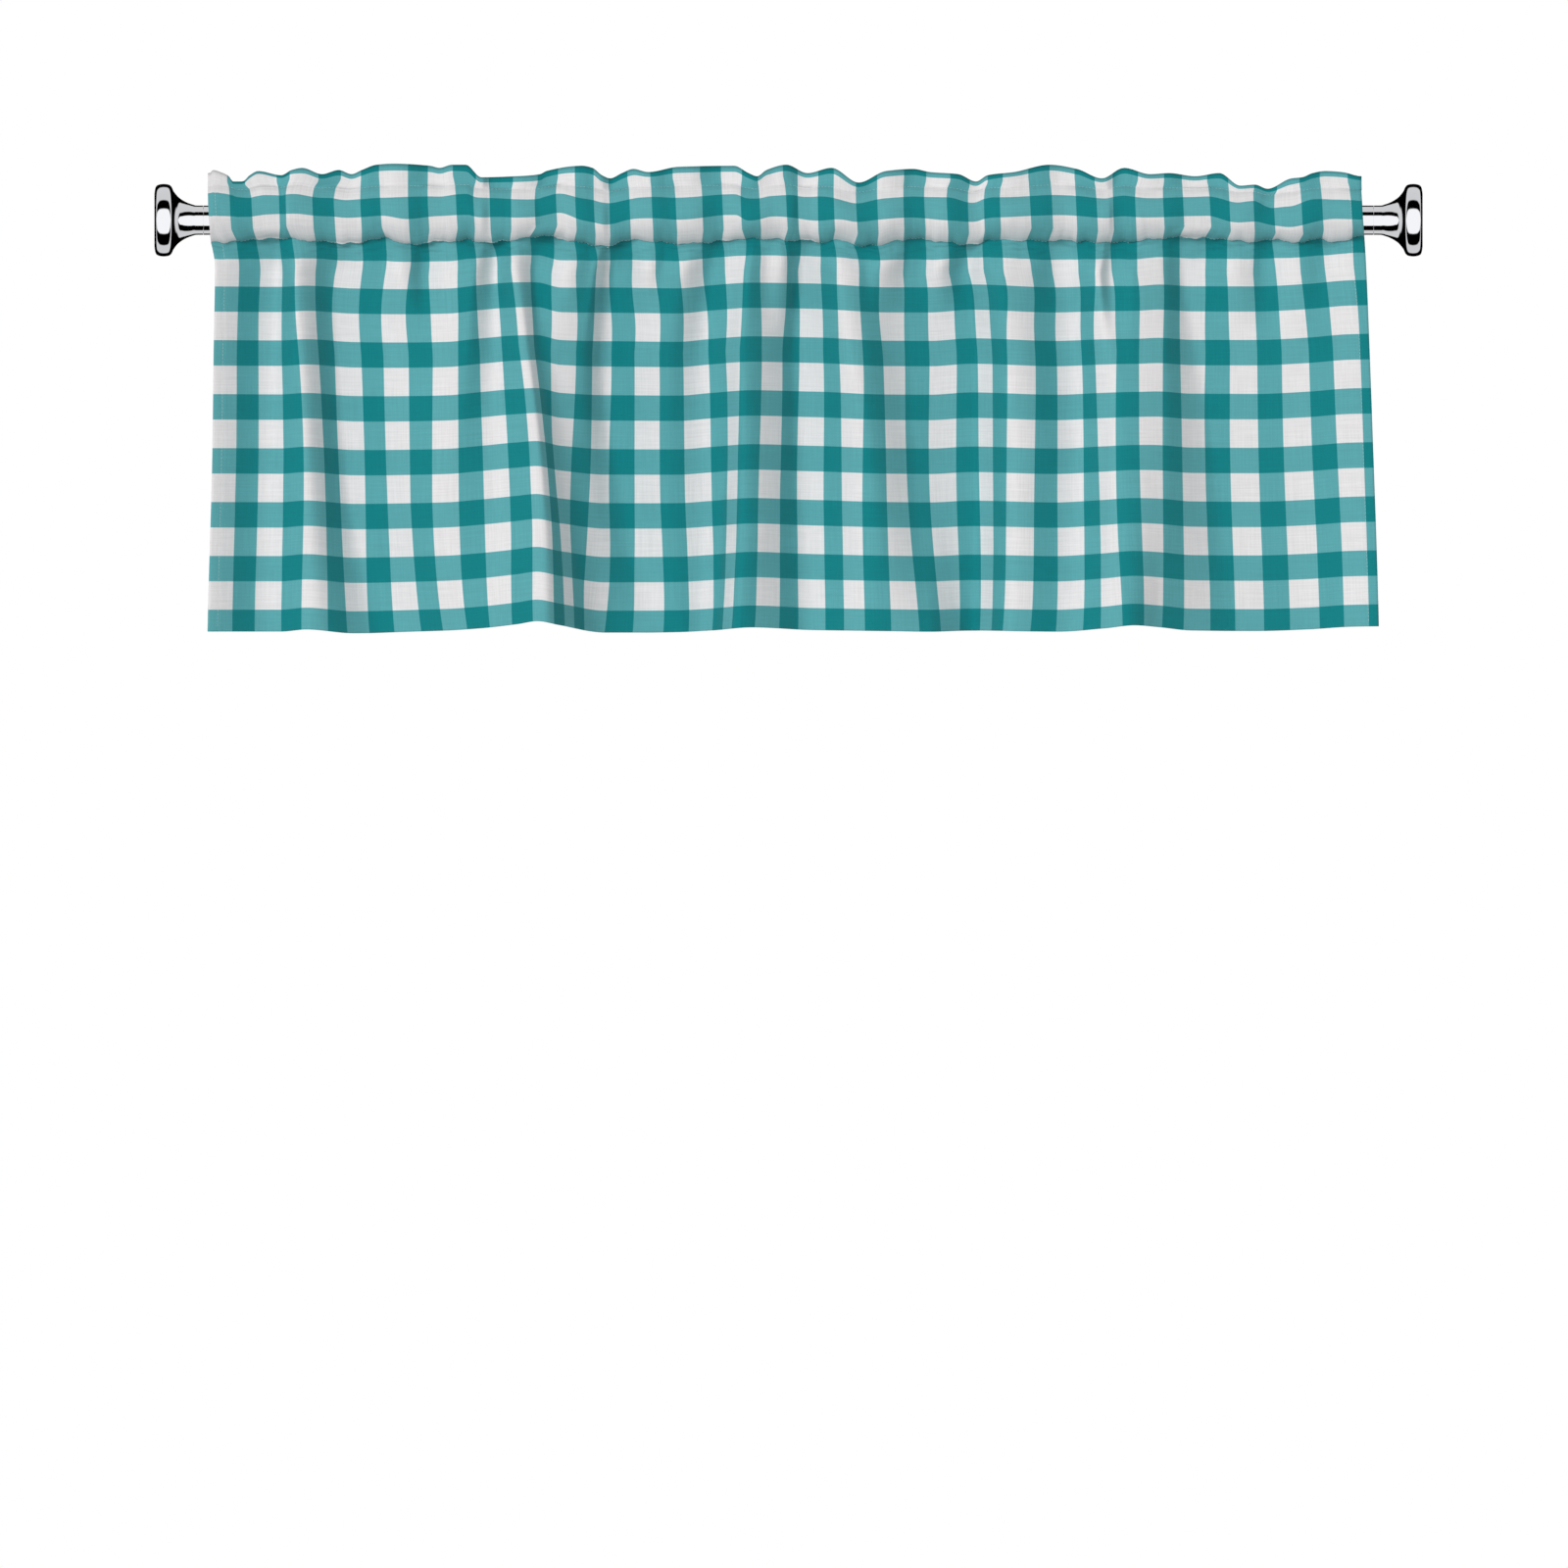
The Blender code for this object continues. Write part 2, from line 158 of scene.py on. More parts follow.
GATHERS = [Gather(*row) for row in (
    (208, 9, 26, 90), (238, 15, 22, 110), (264, -13, 18, 110), (391, 15, 26, 120),
    (434, -6, 17, 110), (465, 16, 18, 90), (598, 15, 17, 120), (697, 18, 20, 80), (750, 20, 24, 90),
    (838, 6, 20, 80), (918, -16, 16, 130), (1033, 14, 28, 120), (1066, -6, 18, 140),
    (1093, 8, 24, 120), (1125, -5, 22, 100),
)]

ROW_DROPS = [RowDrop(*row) for row in (
    (60, 0, 1), (120, 0.5, 1), (145, -0.5, -1), (190, 2, 2.5), (250, 3, 1), (280, 2.5, 0),
    (310, -1, -2), (345, -3.5, -6), (365, -3, -9), (388, 2, -5), (430, 1, 2), (500, 2, 1.5),
    (530, -1, 0), (570, -3.5, -3), (628, -3, -0.5), (700, 1, 0.5), (740, 1, 1), (780, -2, 0),
    (860, 1, 1), (905, 0, -2), (935, 0.5, -5), (960, -1.5, -3), (990, 0, 0), (1050, 0, 0.5),
    (1100, -2.5, -1), (1140, -6, -3.5), (1165, -6.5, -4),
)]

TOP_EDGE = [TopPoint(*row) for row in (
    (53, 45, -2), (56, 48, -2), (63, 46, -2), (71, 42, -1), (75, 37, 6), (84, 37, 6), (91, 43, 5),
    (99, 47, 4), (121, 43, 5), (131, 48, 6), (141, 50, 8), (160, 44, 8), (176, 48, 8), (188, 44, 8),
    (198, 48, 8), (212, 53, 8), (228, 54, 8), (263, 52, 8), (272, 50, 8), (284, 53, 8),
    (297, 53, 9), (312, 41, 13), (345, 42, 13), (368, 44, 12), (374, 47, 10), (408, 52, 9),
    (418, 50, 9), (427, 43, 12), (435, 40, 12), (446, 45, 10), (457, 49, 9), (471, 46, 8),
    (500, 51, 8), (553, 52, 8), (567, 45, 9), (575, 42, 10), (584, 48, 8), (603, 53, 8),
    (623, 45, 8), (646, 50, 8), (672, 36, 14), (698, 47, 9), (724, 49, 9), (740, 46, 9),
    (767, 44, 9), (784, 37, 12), (795, 43, 9), (820, 46, 7), (854, 53, 7), (880, 49, 8),
    (904, 40, 9), (925, 50, 8), (950, 44, 8), (968, 45, 8), (993, 42, 9), (1016, 45, 9),
    (1036, 33, 14), (1050, 34, 14), (1062, 30, 15), (1085, 40, 13), (1095, 41, 10), (1105, 45, 9),
    (1117, 47, 8), (1133, 46, 8), (1150, 42, 7),
)]

SIDE_EDGES = [SideEdge(*row) for row in (
    (-80, 53, 1150), (-45, 51, 1152), (-8, 53, 1154), (30, 58, 1156), (185, 56, 1162),
    (377, 51, 1168),
)]

BAND_WAVES = [BandWave(*row) for row in (
    (60, 5, 2, -1), (94, 2, 2, 1), (128, 3, 4, 2), (184, -2, 0, -3), (217, -2, 1, 3),
    (240, -1, -2, -3), (273, 0, 1, -1), (296, 2, 2, 1), (318, 1, 1, -2), (363, -1, 1, 4),
    (386, 3, 4, 2), (408, -2, -3, -2), (431, -4, -6, -5), (453, -2, -2, 1), (475, 1, 0, 0),
    (498, -1, -2, -2), (554, 2, 2, 1), (565, 0, -2, 3), (588, 1, 1, 2), (633, 1, -3, -1),
    (655, -2, -1, 2), (668, -3, -2, -4), (689, -1, -1, -3), (711, 0, 0, 2), (756, 1, -2, -1),
    (778, -3, -3, -4), (801, 1, 1, 2), (840, 1, 2, 1), (924, 1, 1, -1), (958, 0, 1, 3),
    (1003, 2, 2, 2), (1026, -2, -3, 1), (1048, 0, -2, -1), (1068, -7, -6, 2), (1082, -7, -8, -2),
    (1104, -1, -4, 2), (1126, -2, -1, -1), (1149, -2, -1, 5),
)]

THREAD_SHIFTS = [ThreadShift(*row) for row in (
    (53, 0, 0, 0, 0, 0, 0), (60, -2, -3, 1, 0, -1, 0), (100, -11, -5, -3, -1, -1, 0),
    (124, -6, -4, -5, -2, -1, 0), (133, -1, -6, -1, -2, -1, 0), (155, 4, -2, -1, -3, 0, 0),
    (176, 6, -1, -1, -3, 1, 0), (201, -2, -2, -3, -3, 1, 0), (225, -8, -7, -4, -4, 0, 0),
    (264, 1, 1, -2, -4, 3, 1), (286, 3, 6, 3, 2, 2, 1), (311, -1, -4, -5, -4, 1, 1),
    (328, -7, -6, -5, -3, 0, 2), (335, 9, 7, 5, -1, -1, 2), (353, 16, 13, 7, 2, 0, 4),
    (393, 12, 13, 10, 2, -3, -1), (417, 6, 6, 5, 1, -4, -4), (433, 3, 4, 3, -2, -7, -4),
    (452, 2, 4, 4, 1, -5, -2), (470, 10, 11, 10, 4, -4, 0), (492, 7, 10, 9, 4, -2, 1),
    (534, 12, 13, 11, 6, -2, 0), (554, 11, 9, 13, 6, -4, -2), (576, 4, 6, 4, 0, -3, 0),
    (600, 4, 7, 3, 3, 1, 4), (615, 4, 3, 6, -1, -2, 3), (644, 10, 10, 7, 5, 1, 4),
    (671, 3, 3, -1, 1, 1, 2), (693, 2, 2, 1, -3, 2, 3), (711, 9, 8, 7, 1, 3, 4),
    (755, 11, 7, 6, -1, 4, 4), (771, 12, 11, 7, -2, 3, 5), (790, 8, 4, 2, -4, 1, 3),
    (805, 12, 10, 9, -1, 1, 1), (831, 9, 11, 5, 1, 4, 4), (876, 8, 9, 8, 3, 5, 5),
    (898, 6, 8, 4, 0, 1, 3), (915, 2, 2, -1, -5, 1, -1), (931, 9, 6, 6, 0, 0, 0),
    (976, 5, 6, 1, -2, -4, -5), (1004, 2, 4, -2, -4, 0, -2), (1050, 1, 0, -1, -4, 0, 0),
    (1072, 1, -2, -6, -4, 0, 0), (1095, 0, 2, -3, -4, 0, 1), (1118, -4, -2, -4, -4, 0, 2),
    (1142, -4, -1, -2, -4, 0, 2), (1153, 0, 0, 0, 0, 0, 0),
)]

# Where the rows of checks lie on the pocket's front; the bulge takes up more cloth near its sides.
POCKET_FLAT = (FlatRow(0.0, 0.0), FlatRow(0.43, 27.2), FlatRow(0.81, 51.6), FlatRow(1.0, 62.0))

WRINKLES = (Wrinkle(4.0, 0.7, 0.5, 0.3), Wrinkle(8.6, 0.6, 0.35, 1.9), Wrinkle(13.5, 0.4, 0.15, 3.1))


def linear(hex_colour: str) -> tuple[float, float, float, float]:
    """Turn an sRGB hex colour into linear values.

    Args:
        hex_colour: Six hex digits after a hash.

    Returns:
        Red, green, blue and an alpha of one.
    """
    values = [int(hex_colour[start:start + 2], 16) / 255.0 for start in (1, 3, 5)]
    curve = [value / 12.92 if value <= 0.04045 else ((value + 0.055) / 1.055) ** 2.4 for value in values]
    return (curve[0], curve[1], curve[2], 1.0)


def add_node(
    tree: Tree,
    kind: str,
    settings: Mapping[str, Any] | None = None,
    inputs: Mapping[int | str, Any] | None = None,
) -> bpy.types.Node:
    """Add one node with its settings, values and links.

    Args:
        tree: The node tree it goes into.
        kind: Blender's name of the node's type, without ShaderNode before it.
        settings: Properties of the node by name.
        inputs: Values or output sockets by the input's name or number.

    Returns:
        The new node.
    """
    node = tree.nodes.new(f"ShaderNode{kind}")
    for name, value in (settings or {}).items():
        setattr(node, name, value)
    for name, value in (inputs or {}).items():
        if isinstance(value, Socket):
            tree.links.new(value, node.inputs[name])
        else:
            node.inputs[name].default_value = value
    return node


def eased(share: np.ndarray | float) -> np.ndarray | float:
    """A share from 0 to 1 that starts and ends gently."""
    return share * share * (3.0 - 2.0 * share)


def smooth_between(places: Sequence[float], values: Sequence[float], at: np.ndarray) -> np.ndarray:
    """A smooth curve through the values that never swings past them.

    Args:
        places: Where the values are, rising.
        values: The values there.
        at: Where the curve is read.

    Returns:
        The curve's values at those places.
    """
    places = np.asarray(places, dtype=float)
    values = np.asarray(values, dtype=float)
    spans = np.diff(places)
    grades = np.diff(values) / spans
    slopes = np.zeros(len(places))
    for index in range(1, len(places) - 1):
        before, after = grades[index - 1], grades[index]
        if before * after > 0.0:
            weight_before = 2.0 * spans[index] + spans[index - 1]
            weight_after = spans[index] + 2.0 * spans[index - 1]
            both = weight_before + weight_after
            slopes[index] = both / (weight_before / before + weight_after / after)
    slopes[0], slopes[-1] = 0.5 * grades[0], 0.5 * grades[-1]
    index = np.clip(np.searchsorted(places, at) - 1, 0, len(spans) - 1)
    share = np.clip((at - places[index]) / spans[index], 0.0, 1.0)
    rise = values[index + 1] - values[index]
    lead = share * (1.0 - share) ** 2 * spans[index] * slopes[index]
    trail = share ** 2 * (share - 1.0) * spans[index] * slopes[index + 1]
    return values[index] + eased(share) * rise + lead + trail


def read_table(table: Sequence[NamedTuple], column: str, at: np.ndarray) -> np.ndarray:
    """Read one column of a table along the pole, by its smooth curve."""
    return smooth_between([row[0] for row in table], [getattr(row, column) for row in table], at)


def uneven(at: np.ndarray, wave: float, start: float) -> np.ndarray:
    """An uneven wave from -1 to 1, as hand-fed gathers are.

    Args:
        at: Places along the cloth.
        wave: The usual length of one wave.
        start: A phase that sets one line apart from the next.

    Returns:
        The wave's value at each place.
    """
    drift = 1.9 * np.sin(math.tau * at / (5.3 * wave) + 2.1 * start)
    slow = np.sin(math.tau * at / wave + drift + start)
    quick = np.sin(math.tau * at / (0.57 * wave) - 1.4 * drift + 2.7 * start)
    return 0.68 * slow + 0.32 * quick


def patches(at: np.ndarray, wave: float, start: float) -> np.ndarray:
    """Soft patches from 0 to 1, of about the given length."""
    return np.clip(0.5 + 0.8 * uneven(at, 2.0 * wave, start), 0.0, 1.0)


def surface_normals(surface: np.ndarray) -> np.ndarray:
    """The unit normals of a grid of points, which face the front on the skirt."""
    normals = np.cross(np.gradient(surface, axis=1), np.gradient(surface, axis=0))
    return normals / np.maximum(np.linalg.norm(normals, axis=2, keepdims=True), 1e-9)


def ridge(away: np.ndarray, width: float) -> np.ndarray:
    """A soft ridge from 0 to 1 along a line, by the distance from it."""
    return np.exp(-(away / width) ** 2)


class Finish:
    """What the finishes share: a new material, and a tone that is mottled a little."""

    @staticmethod
    def blank(name: str) -> tuple[bpy.types.Material, Tree, bpy.types.Node]:
        """A new material, its nodes and its shader."""
        material = bpy.data.materials.new(name)
        material.use_nodes = True
        return material, material.node_tree, material.node_tree.nodes["Principled BSDF"]

    @staticmethod
    def mottled(
        tree: Tree, colour: str, spots: float, detail: float, tones: tuple[float, float]
    ) -> Socket:
        """One colour with lighter and darker spots.

        Args:
            tree: The material's nodes.
            colour: The colour as sRGB hex.
            spots: How many spots there are in a metre.
            detail: How fine their edges are.
            tones: The darkest and lightest share of the colour.

        Returns:
            The socket that holds the colour.
        """
        place = add_node(tree, "TexCoord")
        values = {"Vector": place.outputs["Object"], "Scale": spots, "Detail": detail}
        noise = add_node(tree, "TexNoise", None, values)
        tone = add_node(
            tree, "MapRange", None, {0: noise.outputs[0], 1: 0.3, 2: 0.7, 3: tones[0], 4: tones[1]}
        )
        dyed = add_node(tree, "HueSaturation", None, {"Color": linear(colour), "Value": tone.outputs[0]})
        return dyed.outputs[0]


@dataclass(frozen=True)
class WovenCotton(Finish):
    """Plain-woven yarn-dyed cotton in a gingham check.

    Both the warp and the weft are dyed in bands, so a band of one colour crosses a band of the
    other in a half tone. The yarns are matt and uneven, which gives fine lighter and darker
    lines both ways and no gloss. The thread spacing is drawn at 1.4 mm, where the real one is
    near 0.4 mm, so that it shows in the render. Painted shade darkens the colour along the
    turned top, along and below the seams and in the wrinkles there, where shade falls.
    """

    white: str = "#F3F1F2"
    half_tone: str = "#5FB0B6"
    full_tone: str = "#00868B"
    first_white: float = 26.0
    teal_band: float = 24.4
    pitch_across: float = 51.6
    pitch_down: float = 51.7
    dye_edge: float = 0.5
    thread_spacing: float = 1.4
    slub_length: float = 46.0
    # How dark the painted shade makes the colour where it is strongest.
    painted_shade_tone: float = 0.62
    roughness: float = 0.9
    ior: float = 1.53
    sheen: float = 0.04

    def material(self) -> bpy.types.Material:
        """Make the cloth's material from its flat coordinates.

        Returns:
            The material.
        """
        material, tree, shader = self.blank("gingham_cotton_woven")
        flat = add_node(tree, "UVMap", {"uv_map": "flat"})
        sides = add_node(tree, "SeparateXYZ", None, {0: flat.outputs[0]})
        across = self.band(tree, sides.outputs["X"], self.first_white * MM, self.pitch_across * MM)
        down = self.band(tree, sides.outputs["Y"], 0.0, self.pitch_down * MM)
        both = add_node(tree, "Math", {"operation": "ADD"}, {0: across, 1: down})
        share = add_node(tree, "Math", {"operation": "MULTIPLY"}, {0: both.outputs[0], 1: 0.5})
        warp = self.yarn(tree, flat.outputs[0], (1.0 / self.thread_spacing, 1.0 / self.slub_length))
        weft = self.yarn(tree, flat.outputs[0], (1.0 / self.slub_length, 1.0 / self.thread_spacing))
        yarns = add_node(tree, "Math", {"operation": "ADD"}, {0: warp, 1: weft})
        tones = add_node(tree, "ValToRGB", None, {0: share.outputs[0]})
        stops = tones.color_ramp.elements
        stops[0].color = linear(self.white)
        stops[1].color = linear(self.full_tone)
        stops.new(0.5).color = linear(self.half_tone)
        lights = add_node(tree, "MapRange", None, {0: yarns.outputs[0], 1: 0.6, 2: 1.4, 3: 0.93, 4: 1.07})
        # Painted shade: the colour is darkened along the turned top, the seams and the wrinkles below them.
        painted_shade = add_node(tree, "Attribute", {"attribute_name": "painted_shade"})
        shade_factor = add_node(
            tree,
            "MapRange",
            None,
            {0: painted_shade.outputs["Fac"], 1: 0.0, 2: 1.0, 3: 1.0, 4: self.painted_shade_tone},
        )
        value = add_node(
            tree, "Math", {"operation": "MULTIPLY"}, {0: lights.outputs[0], 1: shade_factor.outputs[0]}
        )
        dyed = add_node(tree, "HueSaturation", None, {"Color": tones.outputs[0], "Value": value.outputs[0]})
        tree.links.new(dyed.outputs[0], shader.inputs["Base Color"])
        bump = add_node(
            tree,
            "Bump",
            None,
            {"Strength": 0.35, "Distance": 0.12 * MM, "Height": yarns.outputs[0]},
        )
        tree.links.new(bump.outputs[0], shader.inputs["Normal"])
        shader.inputs["Roughness"].default_value = self.roughness
        shader.inputs["IOR"].default_value = self.ior
        shader.inputs["Sheen Weight"].default_value = self.sheen
        return material

    def band(
        self, tree: Tree, place: Socket, start: float, pitch: float
    ) -> Socket:
        """One set of dyed bands: 1 inside the teal and 0 in the white, with a soft edge.

        Args:
            tree: The material's nodes.
            place: The flat coordinate across the bands, in metres.
            start: Where a teal band starts.
            pitch: From one band to the next.

        Returns:
            The socket that holds the share of teal.
        """
        middle = start + 0.5 * self.teal_band * MM
        moved = add_node(tree, "Math", {"operation": "SUBTRACT"}, {0: place, 1: middle})
        folded = add_node(tree, "Math", {"operation": "PINGPONG"}, {0: moved.outputs[0], 1: 0.5 * pitch})
        half = 0.5 * self.teal_band * MM
        edge = 0.5 * self.dye_edge * MM
        soft = add_node(
            tree,
            "MapRange",
            {"interpolation_type": "SMOOTHSTEP"},
            {0: folded.outputs[0], 1: half - edge, 2: half + edge, 3: 1.0, 4: 0.0},
        )
        return soft.outputs[0]

    def yarn(
        self, tree: Tree, flat: Socket, scale: tuple[float, float]
    ) -> Socket:
        """The uneven thickness of one set of yarns, long one way and fine the other.

        Args:
            tree: The material's nodes.
            flat: The flat coordinates in metres.
            scale: Spots a millimetre across and down.

        Returns:
            The socket that holds the thickness, about 0.5.
        """
        mapping = add_node(
            tree, "Mapping", None, {"Vector": flat, "Scale": (scale[0] / MM, scale[1] / MM, 1.0)}
        )
        noise = add_node(
            tree,
            "TexNoise",
            {"noise_dimensions": "2D"},
            {"Vector": mapping.outputs[0], "Scale": 1.0, "Detail": 2.0, "Roughness": 0.6},
        )
        return noise.outputs[0]


@dataclass(frozen=True)
class SpunThread(Finish):
    """Spun polyester sewing thread, dyed to the cloth, with a faint sheen along its twist."""

    name: str
    colour: str
    roughness: float = 0.6
    ior: float = 1.57

    def material(self) -> bpy.types.Material:
        """Make the thread's material.

        Returns:
            The material.
        """
        material, tree, shader = self.blank(self.name)
        dyed = self.mottled(tree, self.colour, 900.0, 1.0, (0.85, 1.1))
        tree.links.new(dyed, shader.inputs["Base Color"])
        shader.inputs["Roughness"].default_value = self.roughness
        shader.inputs["IOR"].default_value = self.ior
        return material


@dataclass(frozen=True)
class PolishedChrome(Finish):
    """Chrome plate on steel and zinc, buffed to a mirror.

    It shows the studio's cards as hard black and white bands. Faint polishing marks run round
    each turned piece, and they soften the bands a little.
    """

    colour: str = "#E6E7EA"
    roughness: float = 0.045
    mark_spacing: float = 0.8

    def material(self) -> bpy.types.Material:
        """Make the plate's material.

        Returns:
            The material.
        """
        material, tree, shader = self.blank("chrome_plate_buffed")
        place = add_node(tree, "TexCoord")
        scale = 1.0 / (self.mark_spacing * MM)
        mapping = add_node(
            tree, "Mapping", None, {"Vector": place.outputs["Object"], "Scale": (scale, 8.0, 8.0)}
        )
        marks = add_node(
            tree, "TexNoise", None, {"Vector": mapping.outputs[0], "Scale": 1.0, "Detail": 3.0}
        )
        rough = add_node(
            tree,
            "MapRange",
            None,
            {0: marks.outputs[0], 1: 0.3, 2: 0.7, 3: 0.6 * self.roughness, 4: 1.6 * self.roughness},
        )
        tree.links.new(rough.outputs[0], shader.inputs["Roughness"])
        values = {"Strength": 0.04, "Distance": 0.02 * MM, "Height": marks.outputs[0]}
        bump = add_node(tree, "Bump", None, values)
        tree.links.new(bump.outputs[0], shader.inputs["Normal"])
        shader.inputs["Base Color"].default_value = linear(self.colour)
        shader.inputs["Metallic"].default_value = 1.0
        return material


@dataclass(frozen=True)
class PaintedFloor(Finish):
    """Matt emulsion paint on a smooth floor, rolled, so its tone is even with a faint mottle."""

    colour: str = "#F2F2F2"
    roughness: float = 0.8

    def material(self) -> bpy.types.Material:
        """Make the floor's material.

        Returns:
            The material.
        """
        material, tree, shader = self.blank("emulsion_paint_rolled")
        paint = self.mottled(tree, self.colour, 3.0, 4.0, (0.98, 1.02))
        tree.links.new(paint, shader.inputs["Base Color"])
        shader.inputs["Roughness"].default_value = self.roughness
        return material


def mesh_piece(
    name: str,
    points: np.ndarray,
    faces: np.ndarray | list[tuple[int, ...]],
    material: bpy.types.Material,
    flat: np.ndarray | None = None,
    painted_shade: np.ndarray | None = None,
) -> Piece:
    """Make a smooth mesh object from points in millimetres.

    Args:
        name: The piece's name.
        points: Its points, one a row.
        faces: Its faces by point number.
        material: Its finish.
        flat: Where each point lies on the flat cloth, in millimetres.
        painted_shade: How much painted shade darkens the cloth at each point, from 0 to 1.

    Returns:
        The new object, linked to the scene.
    """
    mesh = bpy.data.meshes.new(name)
    mesh.from_pydata((np.asarray(points) * MM).tolist(), [], [tuple(map(int, face)) for face in faces])
    if flat is not None:
        layer = mesh.uv_layers.new(name="flat")
        corners = np.empty(len(mesh.loops), dtype=np.int32)
        mesh.loops.foreach_get("vertex_index", corners)
        layer.data.foreach_set("uv", (flat[corners] * MM).astype(np.float32).ravel())
    mesh.shade_smooth()
    mesh.materials.append(material)
    # The painted shade, stored for the cloth's material to darken its colour.
    if painted_shade is not None:
        layer = mesh.attributes.new(name="painted_shade", type="FLOAT", domain="POINT")
        layer.data.foreach_set("value", painted_shade.astype(np.float32))
    piece = bpy.data.objects.new(name, mesh)
    bpy.context.scene.collection.objects.link(piece)
    return piece


@dataclass
class Hang:
    """How the flat cloth hangs: its folds, its gathers and its four edges, all in millimetres."""

    lower_seam_height: float = -20.0
    upper_seam_height: float = 31.0
    mean_top_height: float = 46.0
    upper_seam_follow: float = 0.30
    pocket_inner_depth: float = 16.5
    pocket_roundness: float = 1.1
    pocket_fold_share: float = 0.34
    pocket_back_share: float = 0.24
    heading_fold_share: float = 0.42
    seam_fold_share: float = 0.30
    seam_dip_share: float = 0.05
    seam_dip_reach: float = 9.0
    lean_levels: tuple[float, float, float, float] = (0.0, 32.0, 110.0, 290.0)
    seam_pinch_power: int = 3
    fold_half_range: float = 18.0
    fold_levels: tuple[float, float, float] = (30.0, 185.0, 340.0)
    fold_run_in: float = 32.0
    hang_out: float = 8.0
    skirt_length: float = 377.0
    heading_level: float = -45.0
    arc_samples: int = 2400

    def fold(self, below_seam: float, places: np.ndarray) -> np.ndarray:
        """How far out the folds stand along one level.

        Args:
            below_seam: The level, down from the lower seam.
            places: Places along the pole.

        Returns:
            How far out the cloth is there, before the seam holds it.
        """
        level = max(below_seam, 0.0)
        weights = []
        for index, here in enumerate(self.fold_levels):
            others = [other for other in self.fold_levels if other != here]
            weights.append(math.prod((level - other) / (here - other) for other in others))
        lines = np.array([np.reshape(line, (2, 3)) @ weights for line in FOLD_LINES])
        out = smooth_between(lines[:, 0], lines[:, 1], places)
        for gather in GATHERS:
            spread = np.clip(np.abs(places - gather.at) / gather.half_width, 0.0, 1.0)
            fade = max(0.0, 1.0 - level / gather.reach) ** 2 * (1.0 + 2.0 * level / gather.reach)
            out = out + gather.out * fade * np.cos(0.5 * math.pi * spread) ** 2
        return out

    def drop(self, below_seam: float, places: np.ndarray) -> np.ndarray:
        """How far the cloth sags along one level, below the level's mean height."""
        near_seam = read_table(ROW_DROPS, "near_seam", places)
        at_hem = read_table(ROW_DROPS, "at_hem", places)
        return near_seam + (at_hem - near_seam) * below_seam / self.skirt_length

    def lean(self, below_seam: float, places: np.ndarray) -> np.ndarray:
        """How far the threads are pushed along the pole at one level of the skirt."""
        columns = ("seam", "upper", "lower", "hem")
        pushes = [read_table(THREAD_SHIFTS, column, places) for column in columns]
        weights = [np.interp(below_seam, self.lean_levels, one) for one in np.eye(len(columns))]
        return np.tensordot(weights, pushes, axes=1)

    def threads(self, below_seam: float, shares: np.ndarray) -> tuple[np.ndarray, np.ndarray]:
        """Where the upright threads are at one level.

        Args:
            below_seam: The level, down from the lower seam.
            shares: Each thread's share of the flat width.

        Returns:
            The threads' places along the pole, and their fold.
        """
        left = read_table(SIDE_EDGES, "left", np.array(below_seam))
        right = read_table(SIDE_EDGES, "right", np.array(below_seam))
        places = np.linspace(float(left), float(right), self.arc_samples)
        out = self.fold(below_seam, places)
        along_cloth = np.concatenate(([0.0], np.cumsum(np.hypot(np.diff(places), np.diff(out)))))
        at = np.interp(shares * along_cloth[-1], along_cloth, places)
        return at, np.interp(at, places, out)


